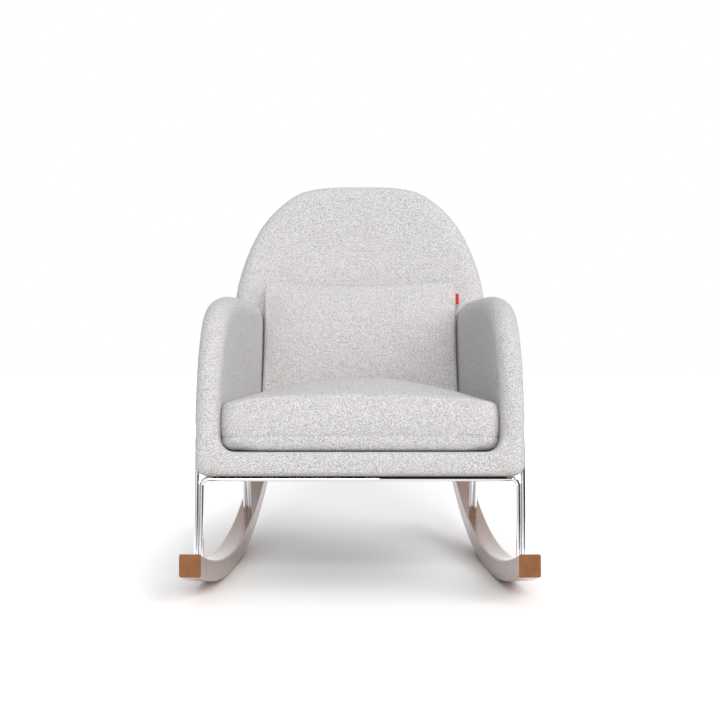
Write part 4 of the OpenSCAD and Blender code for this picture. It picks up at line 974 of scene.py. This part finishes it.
def sew_cushion(piece):
    """Draws in the two seams as fine grooves, fits the sides to the arms and lays the underside flat."""
    for v in piece.data.vertices:
        x = v.co.x
        p, q = level(v.co)
        to_side, to_front, to_rear = side_distances(x, p)
        nearest = min(to_side, to_front, to_rear)
        if nearest < 0.024:
            low, high = seam_distances(x, p, q - deck_top)
            drawn = math.exp(-(low / 0.0018) ** 2) * 0.0020 + math.exp(-(high / 0.0022) ** 2) * 0.0012
            if to_side == nearest:
                x -= math.copysign(drawn, x)
            else:
                p += drawn if to_front == nearest else -drawn
        x *= cushion_swell
        limit = inner_x(p) - 0.0008
        x = max(-limit, min(limit, x))
        q = max(q, deck_top + 0.0006)
        v.co = chair(x, p, q)
    piece.data.update()


sew_cushion(seat_cushion)
seat_cushion.data.materials.append(cream_boucle)
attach(seat_cushion, "cushion")
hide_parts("seat_cushion")

# Lumbar pillow: a loose knife edge pillow filled with fibre, in the same boucle. Its front and back
# panels meet in one seam all round, and its sides bow in a little between the corners.
pillow_half = 0.249
pillow_high = 0.1675
pillow_thick = 0.112
pillow_front = pillow_thick * 0.62
pillow_rear = pillow_thick * 0.38
pillow_foot = 0.095
pillow_gap = 0.0005
pillow_lift = (deck_top - body_base + pillow_foot) / math.cos(back_lean) + pillow_high
under_dip = 0.007
side_dip = 0.004
top_dip = 0.019


def pillow_spot(x, y, z):
    """A point of the pillow: across, through and up from its middle, with its rear in the back's dish."""
    return back_spot(x, y - back_thick / 2 + back_dish - pillow_gap - pillow_rear, z + pillow_lift)


def bowed(t):
    return 1 - abs(2 * t - 1) ** 2.2


wide_steps = [k / 40 for k in range(40)]
high_steps = [k / 26 for k in range(26)]
square_outline = (
    [Vector((mix(-pillow_half, pillow_half, t), -pillow_high + under_dip * bowed(t))) for t in wide_steps]
    + [Vector((pillow_half - side_dip * bowed(t), mix(-pillow_high, pillow_high, t))) for t in high_steps]
    + [Vector((mix(pillow_half, -pillow_half, t), pillow_high - top_dip * bowed(t))) for t in wide_steps]
    + [Vector((-pillow_half + side_dip * bowed(t), mix(pillow_high, -pillow_high, t))) for t in high_steps])
corner_pull = 0.010
corner_reach = 0.03
pillow_outline = []
for v in square_outline:
    near = math.hypot(pillow_half - abs(v.x), pillow_high - abs(v.y))
    pull = corner_pull * max(0.0, 1 - near / corner_reach)
    pillow_outline.append(Vector((v.x - math.copysign(pull, v.x) * 0.7,
                                  v.y - math.copysign(pull, v.y) * 0.7)))


def swell(v):
    """How full the pillow is at a point: 1 in the middle and 0 at the seam."""
    return math.sqrt(falls(v.x / pillow_half, 2.6) * falls(v.y / pillow_high, 2.2))


pillow_steps = (0.08, 0.18, 0.28, 0.38, 0.48, 0.58, 0.67, 0.75, 0.82, 0.88, 0.925, 0.96, 0.985, 1.0)
front_full = pillow_front - 0.004
rear_full = pillow_rear - 0.003
seam_half = 0.002


def pillow_ring(g, full, side):
    """A ring of one face, shrunk towards its middle by g. It is flat at the seam, where g is 1."""
    return [pillow_spot(v.x * g, side * mix(seam_half, full, 0 if g == 1 else swell(v * g)), v.y * g)
            for v in pillow_outline]


pillow_rings = [pillow_ring(g, front_full, -1) for g in pillow_steps]
pillow_rings += [pillow_ring(g, rear_full, 1) for g in reversed(pillow_steps)]
lumbar_pillow = ringed_form("lumbar_pillow_cover", pillow_rings, pillow_spot(0, -front_full, 0),
                            pillow_spot(0, rear_full, 0))


def pillow_own(co):
    """A point's place on the pillow: across, through and up."""
    p, q = level(co)
    dp, dq = p - back_foot, q - body_base
    y = dp * math.cos(back_lean) - dq * math.sin(back_lean)
    z = dp * math.sin(back_lean) + dq * math.cos(back_lean)
    return co.x, y + back_thick / 2 - (back_dish - pillow_gap) + pillow_rear, z - pillow_lift


def pillow_held(co):
    """Only the seam keeps its place."""
    x, y, z = pillow_own(co)
    edge = min(pillow_half - abs(x), pillow_high - abs(z))
    return 1.0 if edge < 0.007 else 0.02


inflate(lumbar_pillow, pillow_held, 3.0, 0.008)
baked(lumbar_pillow, ("SMOOTH", {"factor": 0.4, "iterations": 2}), ("SUBSURF", {"levels": 1}))
# The smoothing shrinks the pillow a little, so it is brought back to its full size.
own = [pillow_own(v.co) for v in lumbar_pillow.data.vertices]
wider = (pillow_half - 0.0005) / max(abs(x) for x, y, z in own)
taller = (pillow_high - 0.0005) / max(abs(z) for x, y, z in own)
for v, (x, y, z) in zip(lumbar_pillow.data.vertices, own):
    v.co = pillow_spot(x * wider, min(y, pillow_rear + 0.0002), z * taller)
lumbar_pillow.data.update()
lumbar_pillow.data.materials.append(cream_boucle)
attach(lumbar_pillow, "pillow")
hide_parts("lumbar_pillow")

# Side tab: a short piece of plain red tape, folded double and caught in the pillow's side seam near its
# top corner. It hangs out a little and sags with its own weight.
tab_low = pillow_high - 0.062
tab_tall = 0.029
tab_out = 0.0115
tab_rows = 8
tab_steps = 14
tab_points = []
tab_faces = []
for j in range(tab_rows + 1):
    z = tab_low + tab_tall * j / tab_rows
    for i in range(tab_steps + 1):
        t = 2 * i / tab_steps
        out_by = tab_out * (1 - abs(t - 1) ** 2.6)
        thick = 0.0011 * (t - 1)
        sway = -0.0016 * (out_by / tab_out) ** 2 - 0.0009 * math.sin(j / tab_rows * math.pi)
        sag = 0.004 * out_by / tab_out
        tab_points.append(pillow_spot(pillow_half - 0.0045 + out_by, thick + sway, z - sag))
for j in range(tab_rows):
    for i in range(tab_steps):
        a = j * (tab_steps + 1) + i
        tab_faces.append((a, a + 1, a + tab_steps + 2, a + tab_steps + 1))
side_tab = mesh_piece("side_tab", tab_points, tab_faces)
baked(side_tab, ("SOLIDIFY", {"thickness": 0.0005, "offset": 0.0}), ("SUBSURF", {"levels": 1}))
side_tab.data.materials.append(woven("red_tape", (0.66, 0.035, 0.045, 1), (0.40, 0.012, 0.020, 1),
                                     5200.0, 300.0, 0.6, 0.0002))
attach(side_tab, "pillow")
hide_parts("side_label")
